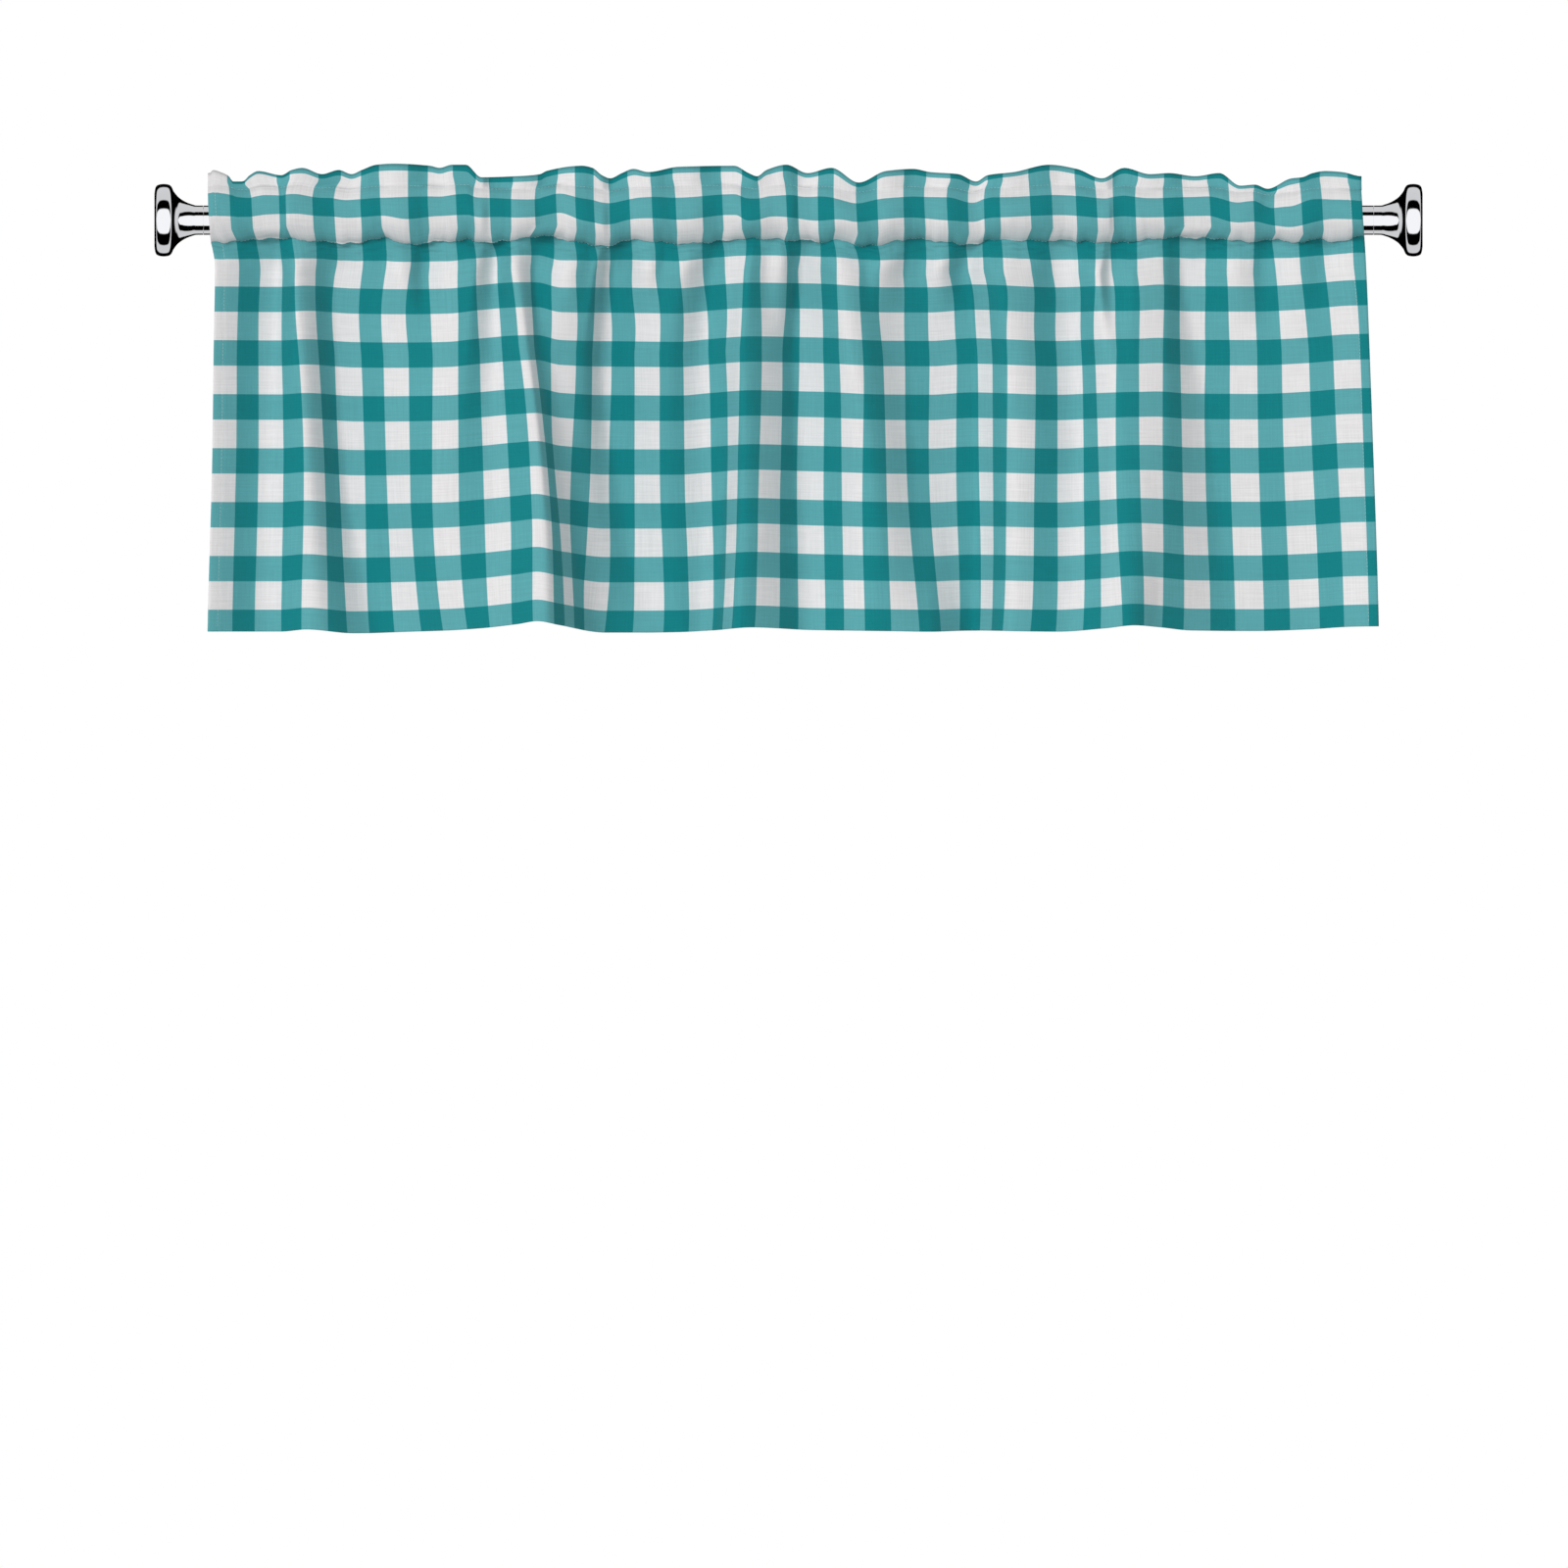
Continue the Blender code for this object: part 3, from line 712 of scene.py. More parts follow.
@dataclass
class Valance:
    """The cloth: one cut length, hemmed at its sides and foot, turned down and sewn at the top."""

    hang: Hang = field(default_factory=Hang)
    flat_width: float = 1377.0
    across_steps: int = 560
    side_hem: float = 12.0
    side_hem_steps: int = 5
    bottom_hem: float = 25.0
    bottom_hem_gap: float = 1.2
    side_hem_gap: float = 1.0
    hem_line_in: float = 1.6
    seam_take_up: float = 6.0
    layer_gap: float = 1.1
    heading_gap: float = 1.8
    next_row_edge: float = 79.0
    mean_top_flat: float = 87.2
    turn_flat: float = 1.4
    seam_pucker: float = 1.3
    sheet_lift: float = 1.0
    pole_clear: float = 15.2
    pocket_steps: int = 26
    heading_steps: int = 7
    # Rows of the hem turned under behind the lower seam: how far down and how far back.
    tail: tuple[tuple[float, float], ...] = ((0.9, 0.6), (1.8, 1.5), (1.9, 2.3), (1.2, 2.9))
    cotton: WovenCotton = field(default_factory=WovenCotton)

    def shares(self) -> np.ndarray:
        """The threads' shares of the flat width."""
        return np.linspace(0.0, 1.0, self.across_steps + 1)

    def skirt_levels(self) -> list[float]:
        """Levels of the skirt's rows below the lower seam, close together near seam and hem."""
        levels = [0.0]
        while levels[-1] < self.hang.skirt_length - self.bottom_hem - 6.0:
            levels.append(levels[-1] + min(6.4, 1.3 + 0.11 * levels[-1]))
        foot = self.hang.skirt_length - self.bottom_hem * np.array([1.0, 0.8, 0.6, 0.4, 0.2, 0.06, 0.0])
        return [level for level in levels if level < foot[0] - 2.0] + foot.tolist()

    def skirt(self) -> tuple[np.ndarray, np.ndarray]:
        """The hanging skirt's middle surface, seam first.

        Returns:
            Points by row and thread, and each row's flat distance below the pocket.
        """
        hang = self.hang
        levels = self.skirt_levels()
        surface: list[np.ndarray] = []
        height = hang.lower_seam_height
        previous: tuple[np.ndarray, np.ndarray, float] | None = None
        for level in levels:
            at, fold = hang.threads(level, self.shares())
            ease = eased(min(1.0, level / hang.fold_run_in))
            out = hang.seam_fold_share * fold * (1.0 - ease) + (fold + hang.hang_out) * ease
            if previous:
                length = level - previous[2]
                sideways = np.hypot(at - previous[0], out - previous[1])
                height -= float(np.mean(np.sqrt(np.maximum(length ** 2 - sideways ** 2, 0.0))))
            previous = (at, out, level)
            pushed = at + hang.lean(level, at)
            near_seam = math.exp(-level / hang.seam_dip_reach)
            seam_line = self.seam_waves(pushed) - hang.seam_dip_share * fold
            drop = hang.drop(level, pushed) * (1.0 - near_seam) - seam_line * near_seam
            surface.append(np.stack((pushed, -out, height - drop), axis=1))
        return np.array(surface), np.array(levels) + self.seam_take_up

    def top(self) -> tuple[np.ndarray, np.ndarray]:
        """The pocket and the heading, from the lower seam up the front and down the back.

        Returns:
            Points by row and thread, and each row's flat distance above the skirt.
        """
        hang = self.hang
        shares = self.shares()
        pocket_height = hang.upper_seam_height - hang.lower_seam_height
        rows: list[np.ndarray] = []
        flats: list[np.ndarray] = []
        at, fold = hang.threads(hang.heading_level, shares)
        pushes = np.array([read_table(THREAD_SHIFTS, column, at) for column in ("seam", "pocket", "heading")])
        top_height = read_table(TOP_EDGE, "height", at + pushes[2])
        upper = hang.upper_seam_height + hang.upper_seam_follow * (top_height - hang.mean_top_height)
        seam_out = hang.seam_fold_share * fold
        seam = hang.lower_seam_height - hang.seam_dip_share * fold
        crest = hang.pocket_fold_share * np.maximum(fold + hang.fold_half_range, 0.0)
        behind = hang.pocket_back_share * np.maximum(hang.fold_half_range - fold, 0.0)
        waves = [read_table(BAND_WAVES, column, at + pushes[1]) for column in ("middle", "upper")]
        waves = np.array([self.seam_waves(at + pushes[0]), *waves])
        flat_shares, flat_places = zip(*POCKET_FLAT)
        pocket_flat = flat_places[-1]
        top_flat = self.next_row_edge + read_table(TOP_EDGE, "next_band", at + pushes[2])
        for step in range(self.pocket_steps + 1):
            swell, share, pinch = self.pocket_level(step)
            level_at, _ = hang.threads(-pocket_height * share, shares)
            bulge = 0.5 * (swell + math.sin(math.pi * share))
            out = bulge * (hang.pocket_inner_depth + self.sheet_lift + crest)
            out = out + pinch * seam_out + 0.5 * self.layer_gap * (1.0 - swell)
            height = seam + (upper - seam) * share + self.wave_weights(share) @ waves
            out = np.maximum(out, np.sqrt(np.maximum(self.pole_clear ** 2 - height ** 2, 0.0)))
            rows.append(np.stack((level_at + self.push_weights(share) @ pushes, -out, height), axis=1))
            flats.append(0.0 * at + smooth_between(flat_shares, flat_places, np.array(share)))
        upper = upper + self.wave_weights(1.0) @ waves
        climb = range(1, self.heading_steps + 1)
        descent = range(self.heading_steps, -1, -1)
        for side, shares_up in ((1, climb), (-1, descent)):
            for step in shares_up:
                share = step / self.heading_steps
                out, height = self.heading_line(share, upper, top_height, seam_out, fold)
                out = out + side * 0.5 * self.heading_width(share)
                rows.append(np.stack((at + self.push_weights(1.0 + share) @ pushes, -out, height), axis=1))
                turn_flat = top_flat - side * self.turn_flat
                seam_flat = pocket_flat if side > 0 else 2.0 * self.mean_top_flat - pocket_flat
                flats.append(seam_flat + (turn_flat - seam_flat) * share)
            if side > 0:
                out, height = self.heading_line(1.0, upper, top_height, seam_out, fold)
                for turn in (45.0, 90.0, 135.0):
                    half = 0.5 * self.heading_width(1.0)
                    turned_out = out + half * math.cos(math.radians(turn))
                    turned_up = height + half * math.sin(math.radians(turn))
                    rows.append(np.stack((at + pushes[2], -turned_out, turned_up), axis=1))
                    flats.append(top_flat + self.turn_flat * (turn - 90.0) / 90.0)
        for step in range(1, self.pocket_steps + 1):
            swell, share, pinch = self.pocket_level(step)
            level_at, _ = hang.threads(-pocket_height * (1.0 - share), shares)
            push = self.push_weights(1.0) @ pushes * (1.0 - share) + pushes[0] * share
            out = -swell * (hang.pocket_inner_depth + self.sheet_lift + behind)
            out = out + pinch * seam_out - 0.5 * self.layer_gap * (1.0 - swell)
            height = upper + (seam + waves[0] - upper) * share
            out = np.minimum(out, -np.sqrt(np.maximum(self.pole_clear ** 2 - height ** 2, 0.0)))
            rows.append(np.stack((level_at + push, -out, height), axis=1))
            flats.append(0.0 * at + 2.0 * self.mean_top_flat - pocket_flat * (1.0 - share))
        last = rows[-1]
        for drop, back in self.tail:
            tail = last.copy()
            tail[:, 1] = last[:, 1] + back
            tail[:, 2] = last[:, 2] - drop
            rows.append(tail)
            flats.append(flats[-1] + 0.5 * self.tail[-1][0])
        return np.array(rows), np.array(flats)

    def pocket_level(self, step: int) -> tuple[float, float, float]:
        """One level of the pocket: its swell, its share of the height and how far a seam pinches it."""
        angle = math.pi * step / self.pocket_steps
        swell = max(math.sin(angle), 0.0) ** self.hang.pocket_roundness
        return swell, 0.5 - 0.5 * math.cos(angle), (1.0 - swell) ** self.hang.seam_pinch_power

    def seam_waves(self, at: np.ndarray) -> np.ndarray:
        """How far the lower seam rises and dips, its small puckers included."""
        return read_table(BAND_WAVES, "seam", at) + self.seam_pucker * uneven(at, 22.0, 0.6)

    @staticmethod
    def wave_weights(share: float) -> np.ndarray:
        """How much of the seam's, middle's and upper wave a level of the pocket takes."""
        seam = np.interp(share, (0.0, 0.43), (1.0, 0.0))
        middle = np.interp(share, (0.0, 0.43, 0.81), (0.0, 1.0, 0.0))
        upper = np.interp(share, (0.43, 0.81, 1.0), (0.0, 1.0, 0.4))
        return np.array((seam, middle, upper))

    @staticmethod
    def push_weights(share: float) -> np.ndarray:
        """How much of the seam's, pocket's and heading's push a level takes.

        Args:
            share: From 0 at the lower seam over 1 at the upper one to 2 at the top.

        Returns:
            The three weights.
        """
        seam = np.interp(share, (0.0, 0.2), (1.0, 0.0))
        pocket = np.interp(share, (0.0, 0.2, 0.8, 1.5), (0.0, 1.0, 1.0, 0.0))
        heading = np.interp(share, (0.8, 1.5), (0.0, 1.0))
        return np.array((seam, pocket, heading))

    def heading_width(self, share: float) -> float:
        """The gap between the heading's two layers, from its seam to its turned top."""
        return self.layer_gap + (self.heading_gap - self.layer_gap) * math.sin(math.pi * 0.5 * share)

    def heading_line(
        self, share: float, upper: np.ndarray, top: np.ndarray, seam_out: np.ndarray, fold: np.ndarray
    ) -> tuple[np.ndarray, np.ndarray]:
        """The middle of the heading at one share of its height.

        Args:
            share: From 0 at the upper seam to 1 at the top.
            upper: The upper seam's height.
            top: The top edge's height.
            seam_out: How far out the seam is.
            fold: How far out the folds stand.

        Returns:
            How far out the line is, and its height.
        """
        out = seam_out * (1.0 - share) + self.hang.heading_fold_share * fold * share
        height = upper + (top - 0.5 * self.heading_gap - upper) * share
        return out, height

    @staticmethod
    def wrinkle(line: Wrinkle, across: np.ndarray, below: np.ndarray, width: float) -> np.ndarray:
        """Where one wandering, broken wrinkle is, from 0 beside it to 1 in its middle."""
        centre = line.drop + 1.3 * uneven(across, 46.0, line.start)
        return patches(across, 34.0, line.start) * ridge(below - centre, width)

    def relief(self, flat: np.ndarray) -> np.ndarray:
        """The small forms of the cloth: puckers, creases beside the seams and the stitched lines.

        Args:
            flat: Where each point lies on the flat cloth, across and down.

        Returns:
            How far each point is raised.
        """
        across, down = flat[..., 0], flat[..., 1]
        pocket = POCKET_FLAT[-1].flat
        raised = np.zeros(across.shape)
        below = down - self.seam_take_up
        near = np.exp(-np.abs(below) / 9.0) * (below >= 0.0)
        raised += 0.55 * near * uneven(across, 13.0, 0.4) * (1.0 - np.exp(-np.abs(below) / 1.5))
        for line in WRINKLES:
            raised -= line.depth * self.wrinkle(line, across, below, 1.3)
        up = self.mean_top_flat - np.abs(-down - self.mean_top_flat)
        way = np.where(-down > self.mean_top_flat, -1.0, 1.0)
        for seam, reach, depth in ((0.0, 8.0, 0.3), (pocket, 6.0, 0.35)):
            away = np.abs(up - seam)
            held = (up >= 0.0) * np.exp(-away / reach) * (1.0 - np.exp(-away / 2.0))
            raised += way * depth * held * uneven(across, 10.5, seam + 1.1)
        raised -= 0.16 * ridge(up - pocket, 2.4)
        soft = 0.32 * uneven(across, 74.0, 0.8) * uneven(down, 130.0, 0.2)
        raised += soft * (below > 0.0) * (1.0 - near)
        for edge in (across, self.flat_width - across):
            sunk = 0.3 * ridge(edge - self.side_hem + self.hem_line_in, 1.1)
            lifted = 0.22 * ridge(edge - self.side_hem - 0.2, 1.4)
            raised += (lifted - sunk) * (-down < pocket)
        return raised

    def painted_shade(self, flat: np.ndarray, top: np.ndarray) -> np.ndarray:
        """Painted shade on the cloth: a dark line along its turned top, shade along both pocket seams, at the
        pocket's foot and in the wrinkles, and a painted shadow under the lower seam.

        Args:
            flat: Where each point lies on the flat cloth, across and down.
            top: Where each thread turns over at the top, down the flat cloth.

        Returns:
            A share from 0 to 1 for each point.
        """
        across, down = flat[..., 0], flat[..., 1]
        share = np.zeros(across.shape)
        # Painted shade: a dark line where the top turns over.
        share += ridge(down - top - 1.0, 1.9)
        below = down - self.seam_take_up
        # Painted shade along the lower seam, a painted shadow below it on the skirt, and painted shade at the
        # foot of the pocket.
        share += 0.30 * ridge(down, 2.2)
        share += 0.42 * np.exp(-below / 5.0) * (below > 0.0) * patches(across, 60.0, 2.2)
        share += 0.30 * ridge(down - 2.0, 9.0) * (down <= 0.0) * patches(across, 45.0, 5.2)
        # Painted shade in the wrinkles below the lower seam.
        for line in WRINKLES:
            share += line.shade * self.wrinkle(line, across, below, 1.2)
        # Painted shade along the upper seam.
        share += 0.20 * ridge(down + POCKET_FLAT[-1].flat, 2.2) * patches(across, 30.0, 4.4)
        return np.clip(share, 0.0, 1.0)

    def surface(self) -> tuple[np.ndarray, np.ndarray, dict[str, int]]:
        """The whole sheet before its hems are turned, foot of the skirt first.

        Returns:
            Points and flat places by row and thread, and the numbers of the seams' rows.
        """
        skirt, below = self.skirt()
        top, above = self.top()
        skirt[..., 1] -= 0.5 * self.layer_gap
        points = np.concatenate((skirt[::-1], top), axis=0)
        across = self.shares() * self.flat_width
        down = np.concatenate((np.broadcast_to(below[::-1, None], skirt.shape[:2]), -above))
        flat = np.stack(np.broadcast_arrays(across[None, :], down), axis=2)
        points = points + surface_normals(points) * self.relief(flat)[..., None]
        first = len(skirt)
        turn = first + self.pocket_steps + 1 + self.heading_steps + 3
        rows = {
            "lower_front": first,
            "upper_front": first + self.pocket_steps,
            "upper_back": turn + self.heading_steps,
            "lower_back": turn + self.heading_steps + self.pocket_steps,
        }
        return points, flat, rows

    def turn_bottom_hem(self, points: np.ndarray, flat: np.ndarray) -> tuple[np.ndarray, np.ndarray]:
        """Turn the foot of the skirt up behind itself.

        Args:
            points: The sheet, its foot first.
            flat: The flat places of its points.

        Returns:
            The longer sheet and its flat places, with the hem's inner edge first.
        """
        normals = surface_normals(points)
        turns = ((6, 0.25), (6, 1.0), (5, 1.15), (4, 1.15), (3, 1.15), (2, 1.15), (1, 1.1), (0, 0.6))
        hem_rows, hem_flat = [], []
        foot = flat[0, :, 1]
        for row, gap in turns:
            hem_rows.append(points[row] - normals[row] * gap * self.bottom_hem_gap)
            turned = flat[row].copy()
            turned[:, 1] = 2.0 * foot - flat[row, :, 1]
            hem_flat.append(turned)
        return np.concatenate((hem_rows, points)), np.concatenate((hem_flat, flat))

    def turn_side_hems(self, points: np.ndarray, flat: np.ndarray) -> tuple[np.ndarray, np.ndarray]:
        """Turn both sides of the sheet behind it.

        Args:
            points: The sheet by row and thread.
            flat: The flat places of its points.

        Returns:
            The wider sheet and its flat places.
        """
        normals = surface_normals(points)
        last = self.side_hem_steps
        turns = [(last, 0.2), (last, 0.95)] + [(step, 1.0) for step in range(last - 1, 0, -1)] + [(0, 0.55)]
        for side in (1, -1):
            columns, places = [], []
            for step, gap in turns:
                column = step if side == 1 else -1 - step
                edge = 0 if side == 1 else -1
                columns.append(points[:, column] - normals[:, column] * gap * self.side_hem_gap)
                turned = flat[:, column].copy()
                turned[:, 0] = 2.0 * flat[:, edge, 0] - turned[:, 0]
                places.append(turned)
            columns, places = np.stack(columns, axis=1), np.stack(places, axis=1)
            wider = [(columns, points), (places, flat)]
            if side == -1:
                wider = [(old, new[:, ::-1]) for new, old in wider]
            points, flat = (np.concatenate(both, axis=1) for both in wider)
            normals = surface_normals(points)
        return points, flat

    def cut_size(self) -> tuple[float, float]:
        """The cloth's flat size in metres, all its turnings included."""
        length = self.bottom_hem + self.hang.skirt_length + self.seam_take_up
        length += 2.0 * self.mean_top_flat + 2.0 * self.tail[-1][0]
        return (self.flat_width + 2.0 * self.side_hem) * MM, length * MM

    def build(self) -> tuple[Piece, np.ndarray, dict[str, int]]:
        """Build the cloth's piece.

        Returns:
            The piece, the sheet before its hems were turned, and its seams' rows.
        """
        sheet, flat, rows = self.surface()
        points, places = self.turn_bottom_hem(sheet, flat)
        points, places = self.turn_side_hems(points, places)
        turned_row = (rows["upper_front"] + rows["upper_back"]) // 2 + len(points) - len(sheet)
        count = points.shape[:2]
        number = np.arange(count[0] * count[1]).reshape(count)
        corners = (number[:-1, :-1], number[:-1, 1:], number[1:, 1:], number[1:, :-1])
        faces = np.stack([corner.ravel() for corner in corners], axis=1)
        piece = mesh_piece(
            "valance_cloth",
            points.reshape(-1, 3),
            faces,
            self.cotton.material(),
            places.reshape(-1, 2),
            self.painted_shade(places, places[turned_row, :, 1]).ravel(),
        )
        return piece, sheet, rows

    def dress(self, piece: Piece, sewn: Sequence[Piece]) -> None:
        """Args:
            piece: The cloth.
            sewn: The lines of stitches on it.
        """
        for item in (piece, *sewn):
            item.visible_glossy = False
            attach(item, "root")
        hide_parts("valance")
        self.cut_size()


@dataclass
class Stitching:
    """The lockstitches along the pocket's seams and the side hems."""

    pitch: float = 3.4
    length: float = 2.5
    thickness: float = 0.22
    lift: float = 0.12
    sides: int = 5
    seam_thread: SpunThread = field(default_factory=lambda: SpunThread("spun_thread_teal", "#D3E1E1"))
    hem_thread: SpunThread = field(default_factory=lambda: SpunThread("spun_thread_white", "#ECEBE8"))

    def line(self, path: np.ndarray, outward: np.ndarray) -> tuple[np.ndarray, np.ndarray]:
        """Stitches along one path on the cloth.

        Args:
            path: Points along the sewn line.
            outward: The cloth's unit normals there, on the side that shows.

        Returns:
            The stitches' points and faces.
        """
        steps = np.linalg.norm(np.diff(path, axis=0), axis=1)
        along = np.concatenate(([0.0], np.cumsum(steps)))
        rings = np.array((0.0, 0.18, 0.5, 0.82, 1.0))
        height = np.array((-0.6, 0.5, 1.0, 0.5, -0.6)) * self.lift
        width = np.array((0.55, 0.95, 1.0, 0.95, 0.55)) * 0.5 * self.thickness
        starts = np.arange(1.5 * self.pitch, along[-1] - 2.0 * self.pitch, self.pitch)
        places = starts[:, None] + rings[None, :] * self.length
        centre = np.stack([np.interp(places, along, path[:, axis]) for axis in range(3)], axis=2)
        normal = np.stack([np.interp(places, along, outward[:, axis]) for axis in range(3)], axis=2)
        normal /= np.linalg.norm(normal, axis=2, keepdims=True)
        forward = np.gradient(centre, axis=1)
        forward /= np.linalg.norm(forward, axis=2, keepdims=True)
        aside = np.cross(forward, normal)
        centre = centre + normal * height[None, :, None]
        angles = math.tau * np.arange(self.sides) / self.sides
        spread = np.cos(angles)[None, None, :, None] * normal[:, :, None, :]
        spread = spread + np.sin(angles)[None, None, :, None] * aside[:, :, None, :]
        points = centre[:, :, None, :] + spread * width[None, :, None, None]
        count = points.shape[:3]
        number = np.arange(np.prod(count)).reshape(count)
        after = np.roll(number, -1, axis=2)
        corners = (number[:, :-1], after[:, :-1], after[:, 1:], number[:, 1:])
        faces = np.stack([corner.ravel() for corner in corners], axis=1)
        return points.reshape(-1, 3), faces

    def piece(
        self, name: str, lines: Sequence[tuple[np.ndarray, np.ndarray]], thread: SpunThread
    ) -> Piece:
        """Join several sewn lines into one piece.

        Args:
            name: The piece's name.
            lines: Each line's path and normals.
            thread: The thread that it is sewn with.

        Returns:
            The piece.
        """
        points, faces, count = [], [], 0
        for path, outward in lines:
            line_points, line_faces = self.line(path, outward)
            points.append(line_points)
            faces.append(line_faces + count)
            count += len(line_points)
        return mesh_piece(name, np.concatenate(points), np.concatenate(faces).tolist(), thread.material())

    def build(self, valance: Valance, sheet: np.ndarray, rows: Mapping[str, int]) -> list[Piece]:
        """Sew the pocket's two seams and the side hems.

        Args:
            valance: The cloth's sizes.
            sheet: The cloth's points before its hems were turned.
            rows: The numbers of the seams' rows.

        Returns:
            The pieces of thread.
        """
        normals = surface_normals(sheet)
        seams = [(sheet[row], normals[row]) for row in rows.values()]
        column = round((valance.side_hem - valance.hem_line_in) / (valance.flat_width / valance.across_steps))
        upper = rows["upper_front"]
        hems = []
        for side in (column, -1 - column):
            path, outward = sheet[:upper, side], normals[:upper, side]
            hems.append((path, outward))
        return [
            self.piece("pocket_seam_stitches", seams, self.seam_thread),
            self.piece("side_hem_stitches", hems, self.hem_thread),
        ]


@dataclass
class TurnedPiece:
    """A piece turned about the pole's axis from a profile of places and radii."""

    sides: int = 96

    def turned(
        self, name: str, profile: Sequence[tuple[float, float]], material: bpy.types.Material, closed: bool
    ) -> Piece:
        """Turn a profile into a mesh.

        Args:
            name: The piece's name.
            profile: Places along the pole and radii, outside first.
            material: Its finish.
            closed: True for a ring whose last point meets its first one.

        Returns:
            The piece.
        """
        points, faces = [], []
        for along, radius in profile:
            for side in range(self.sides):
                angle = math.tau * side / self.sides
                points.append((along, radius * math.cos(angle), radius * math.sin(angle)))
        rings = len(profile)
        for ring in range(rings if closed else rings - 1):
            here, there = ring * self.sides, (ring + 1) % rings * self.sides
            for side in range(self.sides):
                after = (side + 1) % self.sides
                faces.append((here + side, here + after, there + after, there + side))
        if not closed:
            faces.append(tuple(reversed(range(self.sides))))
            faces.append(tuple(range((rings - 1) * self.sides, rings * self.sides)))
        piece = mesh_piece(name, np.array(points), faces, material)
        piece.data.set_sharp_from_angle(angle=math.radians(40.0))
        piece.visible_glossy = False
        return piece


@dataclass
class Foot(TurnedPiece):
    """A flared foot, turned, which covers the end of the pole."""

    end: PoleEnd = PoleEnd.LEFT
    pole_length: float = 1210.0
    neck_radius: float = 14.0
    neck_end: float = 46.5
    spigot_radius: float = 12.3
    spigot_end: float = 60.0
    steps_between: int = 4
    # Places and radii from the edge of the flat face over the crowned rim and down the flare.
    outline: tuple[tuple[float, float], ...] = (
        (0.0, 25.0), (0.3, 27.6), (0.7, 29.8), (1.3, 31.7), (2.2, 32.9), (3.4, 33.6), (5.2, 34.2),
        (8.8, 34.6), (11.6, 34.4), (13.6, 34.0), (15.0, 33.3), (16.2, 32.1), (17.0, 30.8), (17.6, 29.3),
        (18.3, 27.8), (19.4, 26.2), (21.0, 24.2), (23.0, 22.0), (25.5, 20.1), (28.5, 18.2), (32.0, 16.5),
        (36.0, 15.1), (39.5, 14.1), (42.0, 14.0),
    )

    def profile(self) -> list[tuple[float, float]]:
        """The left foot's profile from its flat face to the end of the spigot in the pole.

        Returns:
            Places along the pole and radii.
        """
        count = len(self.outline)
        reading = np.linspace(0.0, count - 1.0, (count - 1) * self.steps_between + 1)
        places, radii = (smooth_between(range(count), column, reading) for column in zip(*self.outline))
        points = [(0.0, 6.0), (0.0, 0.98 * radii[0])] + list(zip(places, radii))
        points += [
            (self.neck_end, self.neck_radius),
            (self.neck_end, self.spigot_radius),
            (self.spigot_end, self.spigot_radius),
        ]
        return [(float(along), float(radius)) for along, radius in points]

    def build(self, chrome: bpy.types.Material) -> Piece:
        """Build the foot at its end of the pole.

        Args:
            chrome: Its finish.

        Returns:
            The piece.
        """
        name, way = self.end.value
        profile = self.profile()
        if way < 0.0:
            profile = [(self.pole_length - along, radius) for along, radius in reversed(profile)]
        piece = self.turned(f"chrome_{name}", profile, chrome, closed=False)
        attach(piece, "root")
        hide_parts(name)
        return piece


@dataclass
class Pole(TurnedPiece):
    """The plain tube between the feet."""

    radius: float = 14.0
    wall: float = 1.2
    start: float = 46.8
    overall_length: float = 1210.0
    edge: float = 0.12

    def build(self, chrome: bpy.types.Material) -> Piece:
        """Build the tube.

        Args:
            chrome: Its finish.

        Returns:
            The piece.
        """
        end = self.overall_length - self.start
        inner = self.radius - self.wall
        profile = [
            (self.start, self.radius - self.edge),
            (self.start + self.edge, self.radius),
            (end - self.edge, self.radius),
            (end, self.radius - self.edge),
            (end, inner),
            (self.start, inner),
        ]
        piece = self.turned("chrome_pole", profile, chrome, closed=True)
        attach(piece, "root")
        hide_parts("pole")
        return piece


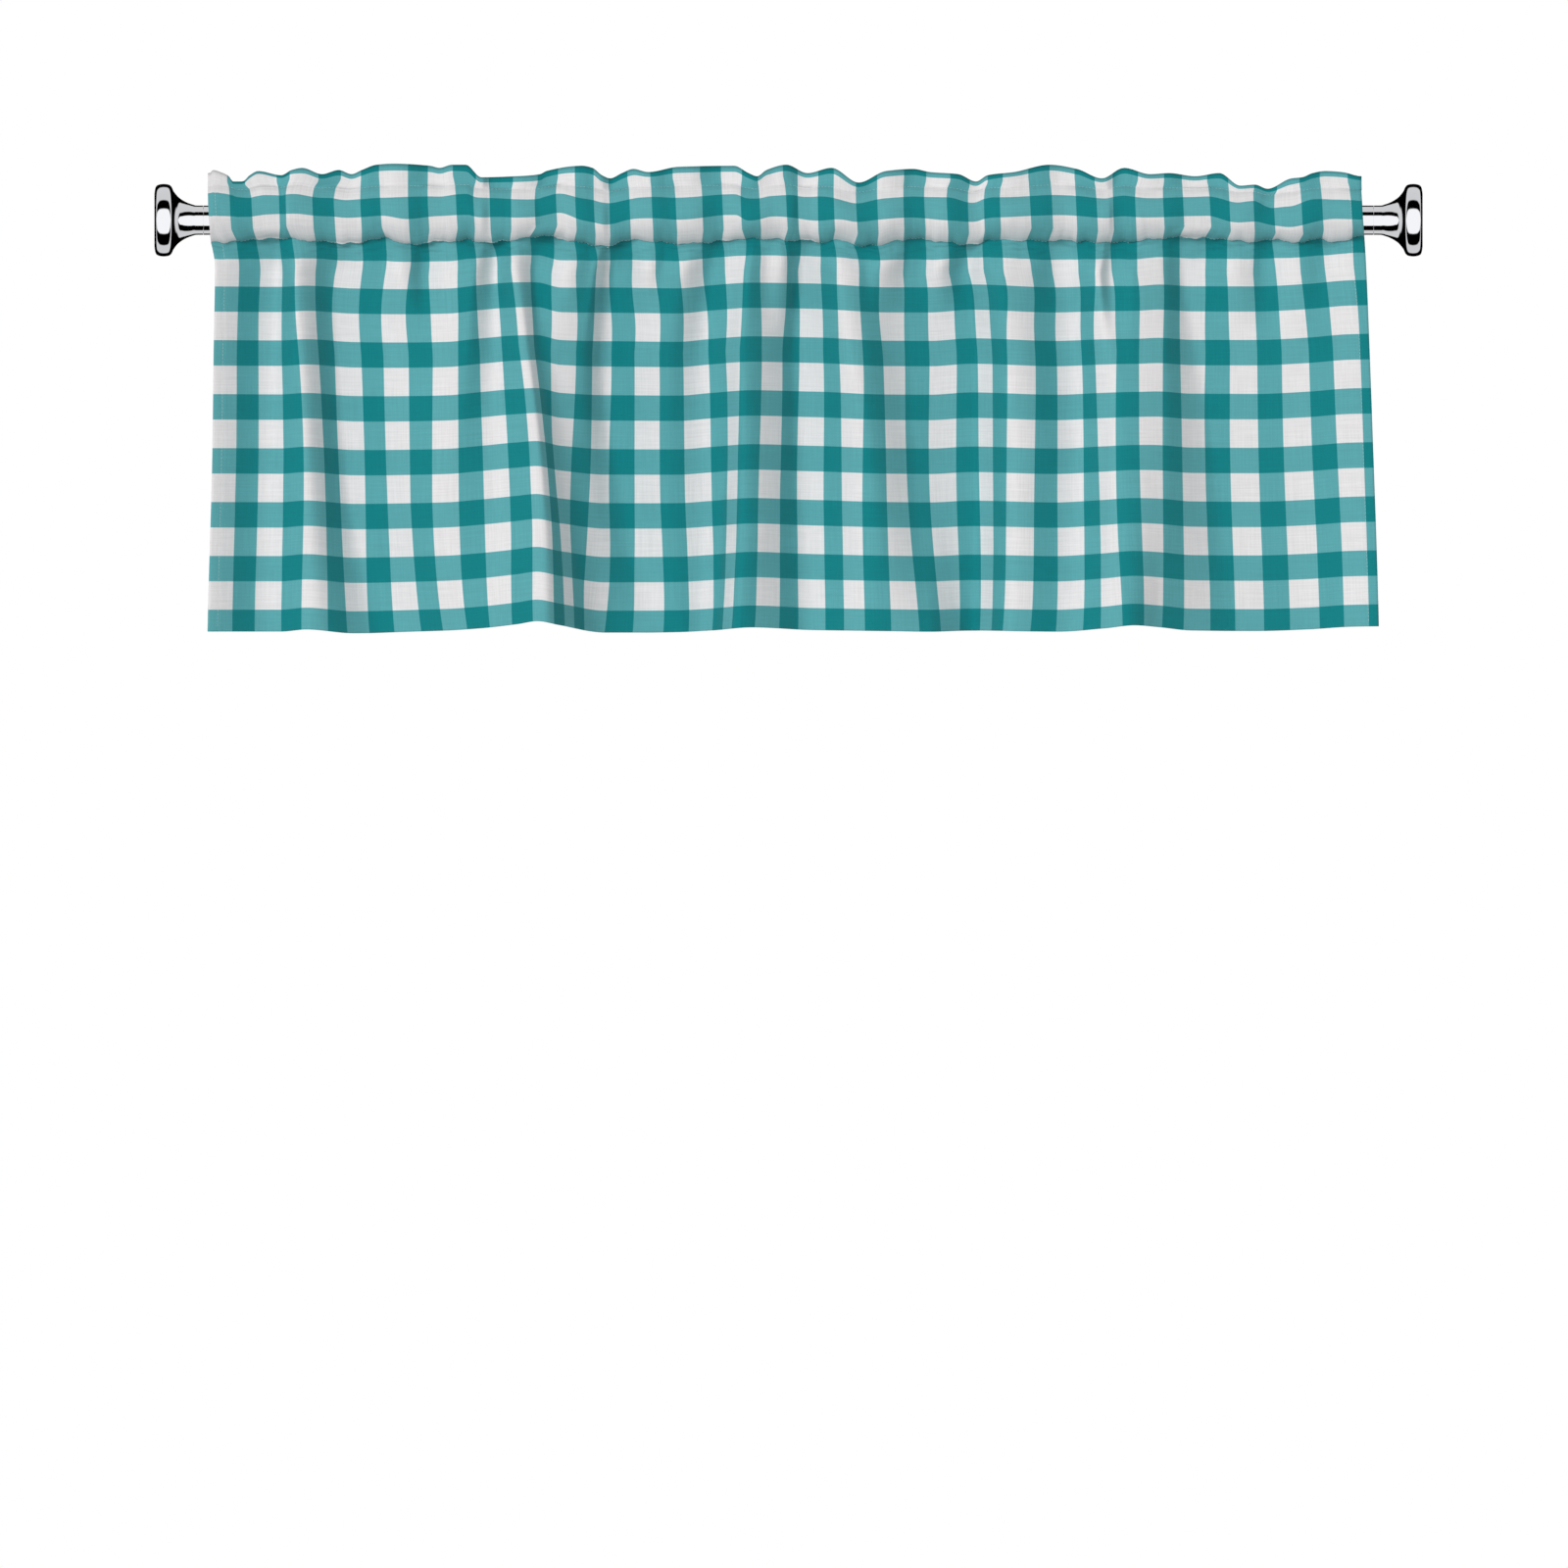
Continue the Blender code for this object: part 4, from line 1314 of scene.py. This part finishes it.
@dataclass
class Studio:
    """A plain pale floor, a soft key from the upper left, and a level camera, sizes in metres."""

    frame_centre: tuple[float, float] = (0.6007, -0.5379)
    frame_side: float = 1.496
    camera_distance: float = 4.0
    floor_height: float = -1.36
    floor_side: float = 24.0
    key_from: tuple[float, float, float] = (-0.46, -0.79, 0.42)
    key_energy: float = 1.46
    key_softness: float = 24.0
    back_from: tuple[float, float, float] = (0.5, 0.75, 0.5)
    back_energy: float = 0.48
    surround: float = 0.40
    # Elevations, in degrees from straight ahead, where the cards that the chrome shows change.
    card_edges: tuple[tuple[float, float], ...] = (
        (-180.0, 0.8), (-90.0, 0.74), (-86.0, 0.0), (-46.0, 0.0), (-42.0, 1.14), (35.0, 1.14),
        (39.0, 0.0), (66.0, 0.0), (70.0, 0.74), (180.0, 0.8),
    )
    # Angles off straight ahead between which the cards end and the dark behind them starts.
    cards_end: tuple[float, float] = (129.0, 133.0)
    side_dark: float = 0.40

    def world(self) -> None:
        """Light the room evenly, and hang cards that only mirrors show."""
        world = bpy.data.worlds.new("studio")
        world.use_nodes = True
        bpy.context.scene.world = world
        tree = world.node_tree
        output = tree.nodes["World Output"]
        plain = tree.nodes["Background"]
        way = add_node(tree, "TexCoord")
        axes = add_node(tree, "SeparateXYZ", None, {0: way.outputs["Generated"]})
        ahead = add_node(tree, "Math", {"operation": "MULTIPLY"}, {0: axes.outputs["Y"], 1: -1.0})
        rise = add_node(tree, "Math", {"operation": "ARCTAN2"}, {0: axes.outputs["Z"], 1: ahead.outputs[0]})
        place = add_node(
            tree, "MapRange", None, {0: rise.outputs[0], 1: -math.pi, 2: math.pi, 3: 0.0, 4: 1.0}
        )
        cards = add_node(tree, "ValToRGB", None, {0: place.outputs[0]})
        stops = cards.color_ramp.elements
        while len(stops) > 1:
            stops.remove(stops[-1])
        for number, (degrees, level) in enumerate(self.card_edges):
            stop = stops[0] if number == 0 else stops.new(0.5 + degrees / 360.0)
            stop.position = 0.5 + degrees / 360.0
            stop.color = (level, level, level, 1.0)
        sideways = add_node(
            tree, "Math", {"operation": "MULTIPLY"}, {0: axes.outputs["X"], 1: axes.outputs["X"]}
        )
        narrowed = add_node(
            tree,
            "Math",
            {"operation": "MULTIPLY_ADD"},
            {0: sideways.outputs[0], 1: -self.side_dark, 2: ahead.outputs[0]},
        )
        kept = add_node(tree, "Clamp", None, {0: narrowed.outputs[0], 1: -1.0, 2: 1.0})
        aside = add_node(tree, "Math", {"operation": "ARCCOSINE"}, {0: kept.outputs[0]})
        inner, outer = (math.radians(degrees) for degrees in self.cards_end)
        lit = add_node(tree, "MapRange", None, {0: aside.outputs[0], 1: inner, 2: outer, 3: 1.0, 4: 0.0})
        mirrored = add_node(
            tree, "Background", None, {"Color": cards.outputs[0], "Strength": lit.outputs[0]}
        )
        kind = add_node(tree, "LightPath")
        seen = add_node(
            tree,
            "MapRange",
            None,
            {0: kind.outputs["Is Camera Ray"], 1: 0.0, 2: 1.0, 3: self.surround, 4: 1.0},
        )
        plain.inputs["Color"].default_value = linear("#FFFFFF")
        tree.links.new(seen.outputs[0], plain.inputs["Strength"])
        choice = add_node(
            tree,
            "MixShader",
            None,
            {0: kind.outputs["Is Glossy Ray"], 1: plain.outputs[0], 2: mirrored.outputs[0]},
        )
        tree.links.new(choice.outputs[0], output.inputs["Surface"])

    def sun(self, name: str, light_from: tuple[float, float, float], energy: float) -> None:
        """Add one soft far light.

        Args:
            name: Its name.
            light_from: The way it comes from.
            energy: Its strength.
        """
        data = bpy.data.lights.new(name, "SUN")
        data.energy = energy
        data.angle = math.radians(self.key_softness)
        light = bpy.data.objects.new(name, data)
        light.rotation_euler = Vector(light_from).to_track_quat("Z", "Y").to_euler()
        light.visible_glossy = False
        bpy.context.scene.collection.objects.link(light)

    def floor(self) -> None:
        """Lay the floor."""
        half = 0.5 * self.floor_side / MM
        height = self.floor_height / MM
        centre = self.frame_centre[0] / MM
        around = ((-half, -half), (half, -half), (half, half), (-half, half))
        corners = np.array([(centre + along, out, height) for along, out in around])
        floor = mesh_piece("floor", corners, [(0, 1, 2, 3)], PaintedFloor().material())
        floor.visible_glossy = False

    def camera(self) -> None:
        """Set the camera level and square to the pole, as far off as makes no difference."""
        data = bpy.data.cameras.new("camera")
        data.type = "ORTHO"
        data.ortho_scale = self.frame_side
        camera = bpy.data.objects.new("camera", data)
        camera.location = (self.frame_centre[0], -self.camera_distance, self.frame_centre[1])
        camera.rotation_euler = (math.radians(90.0), 0.0, 0.0)
        bpy.context.scene.collection.objects.link(camera)
        bpy.context.scene.camera = camera

    def build(self) -> None:
        """Set up the whole studio."""
        self.camera()
        self.world()
        self.floor()
        self.sun("key", self.key_from, self.key_energy)
        self.sun("back", self.back_from, self.back_energy)
        bpy.context.scene.view_settings.view_transform = "Standard"


def main() -> None:
    """Build the studio, the chrome and the cloth."""
    logging.basicConfig(level=logging.INFO, format="%(name)s: %(message)s")
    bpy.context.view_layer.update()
    Studio().build()
    chrome = PolishedChrome().material()
    made = [Foot(end=end).build(chrome) for end in PoleEnd]
    made.append(Pole().build(chrome))
    valance = Valance()
    cloth, sheet, rows = valance.build()
    sewn = Stitching().build(valance, sheet, rows)
    valance.dress(cloth, sewn)
    for piece in (*made, cloth, *sewn):
        log.info("%s: %d faces", piece.name, len(piece.data.polygons))


if __name__ == "__main__":
    main()
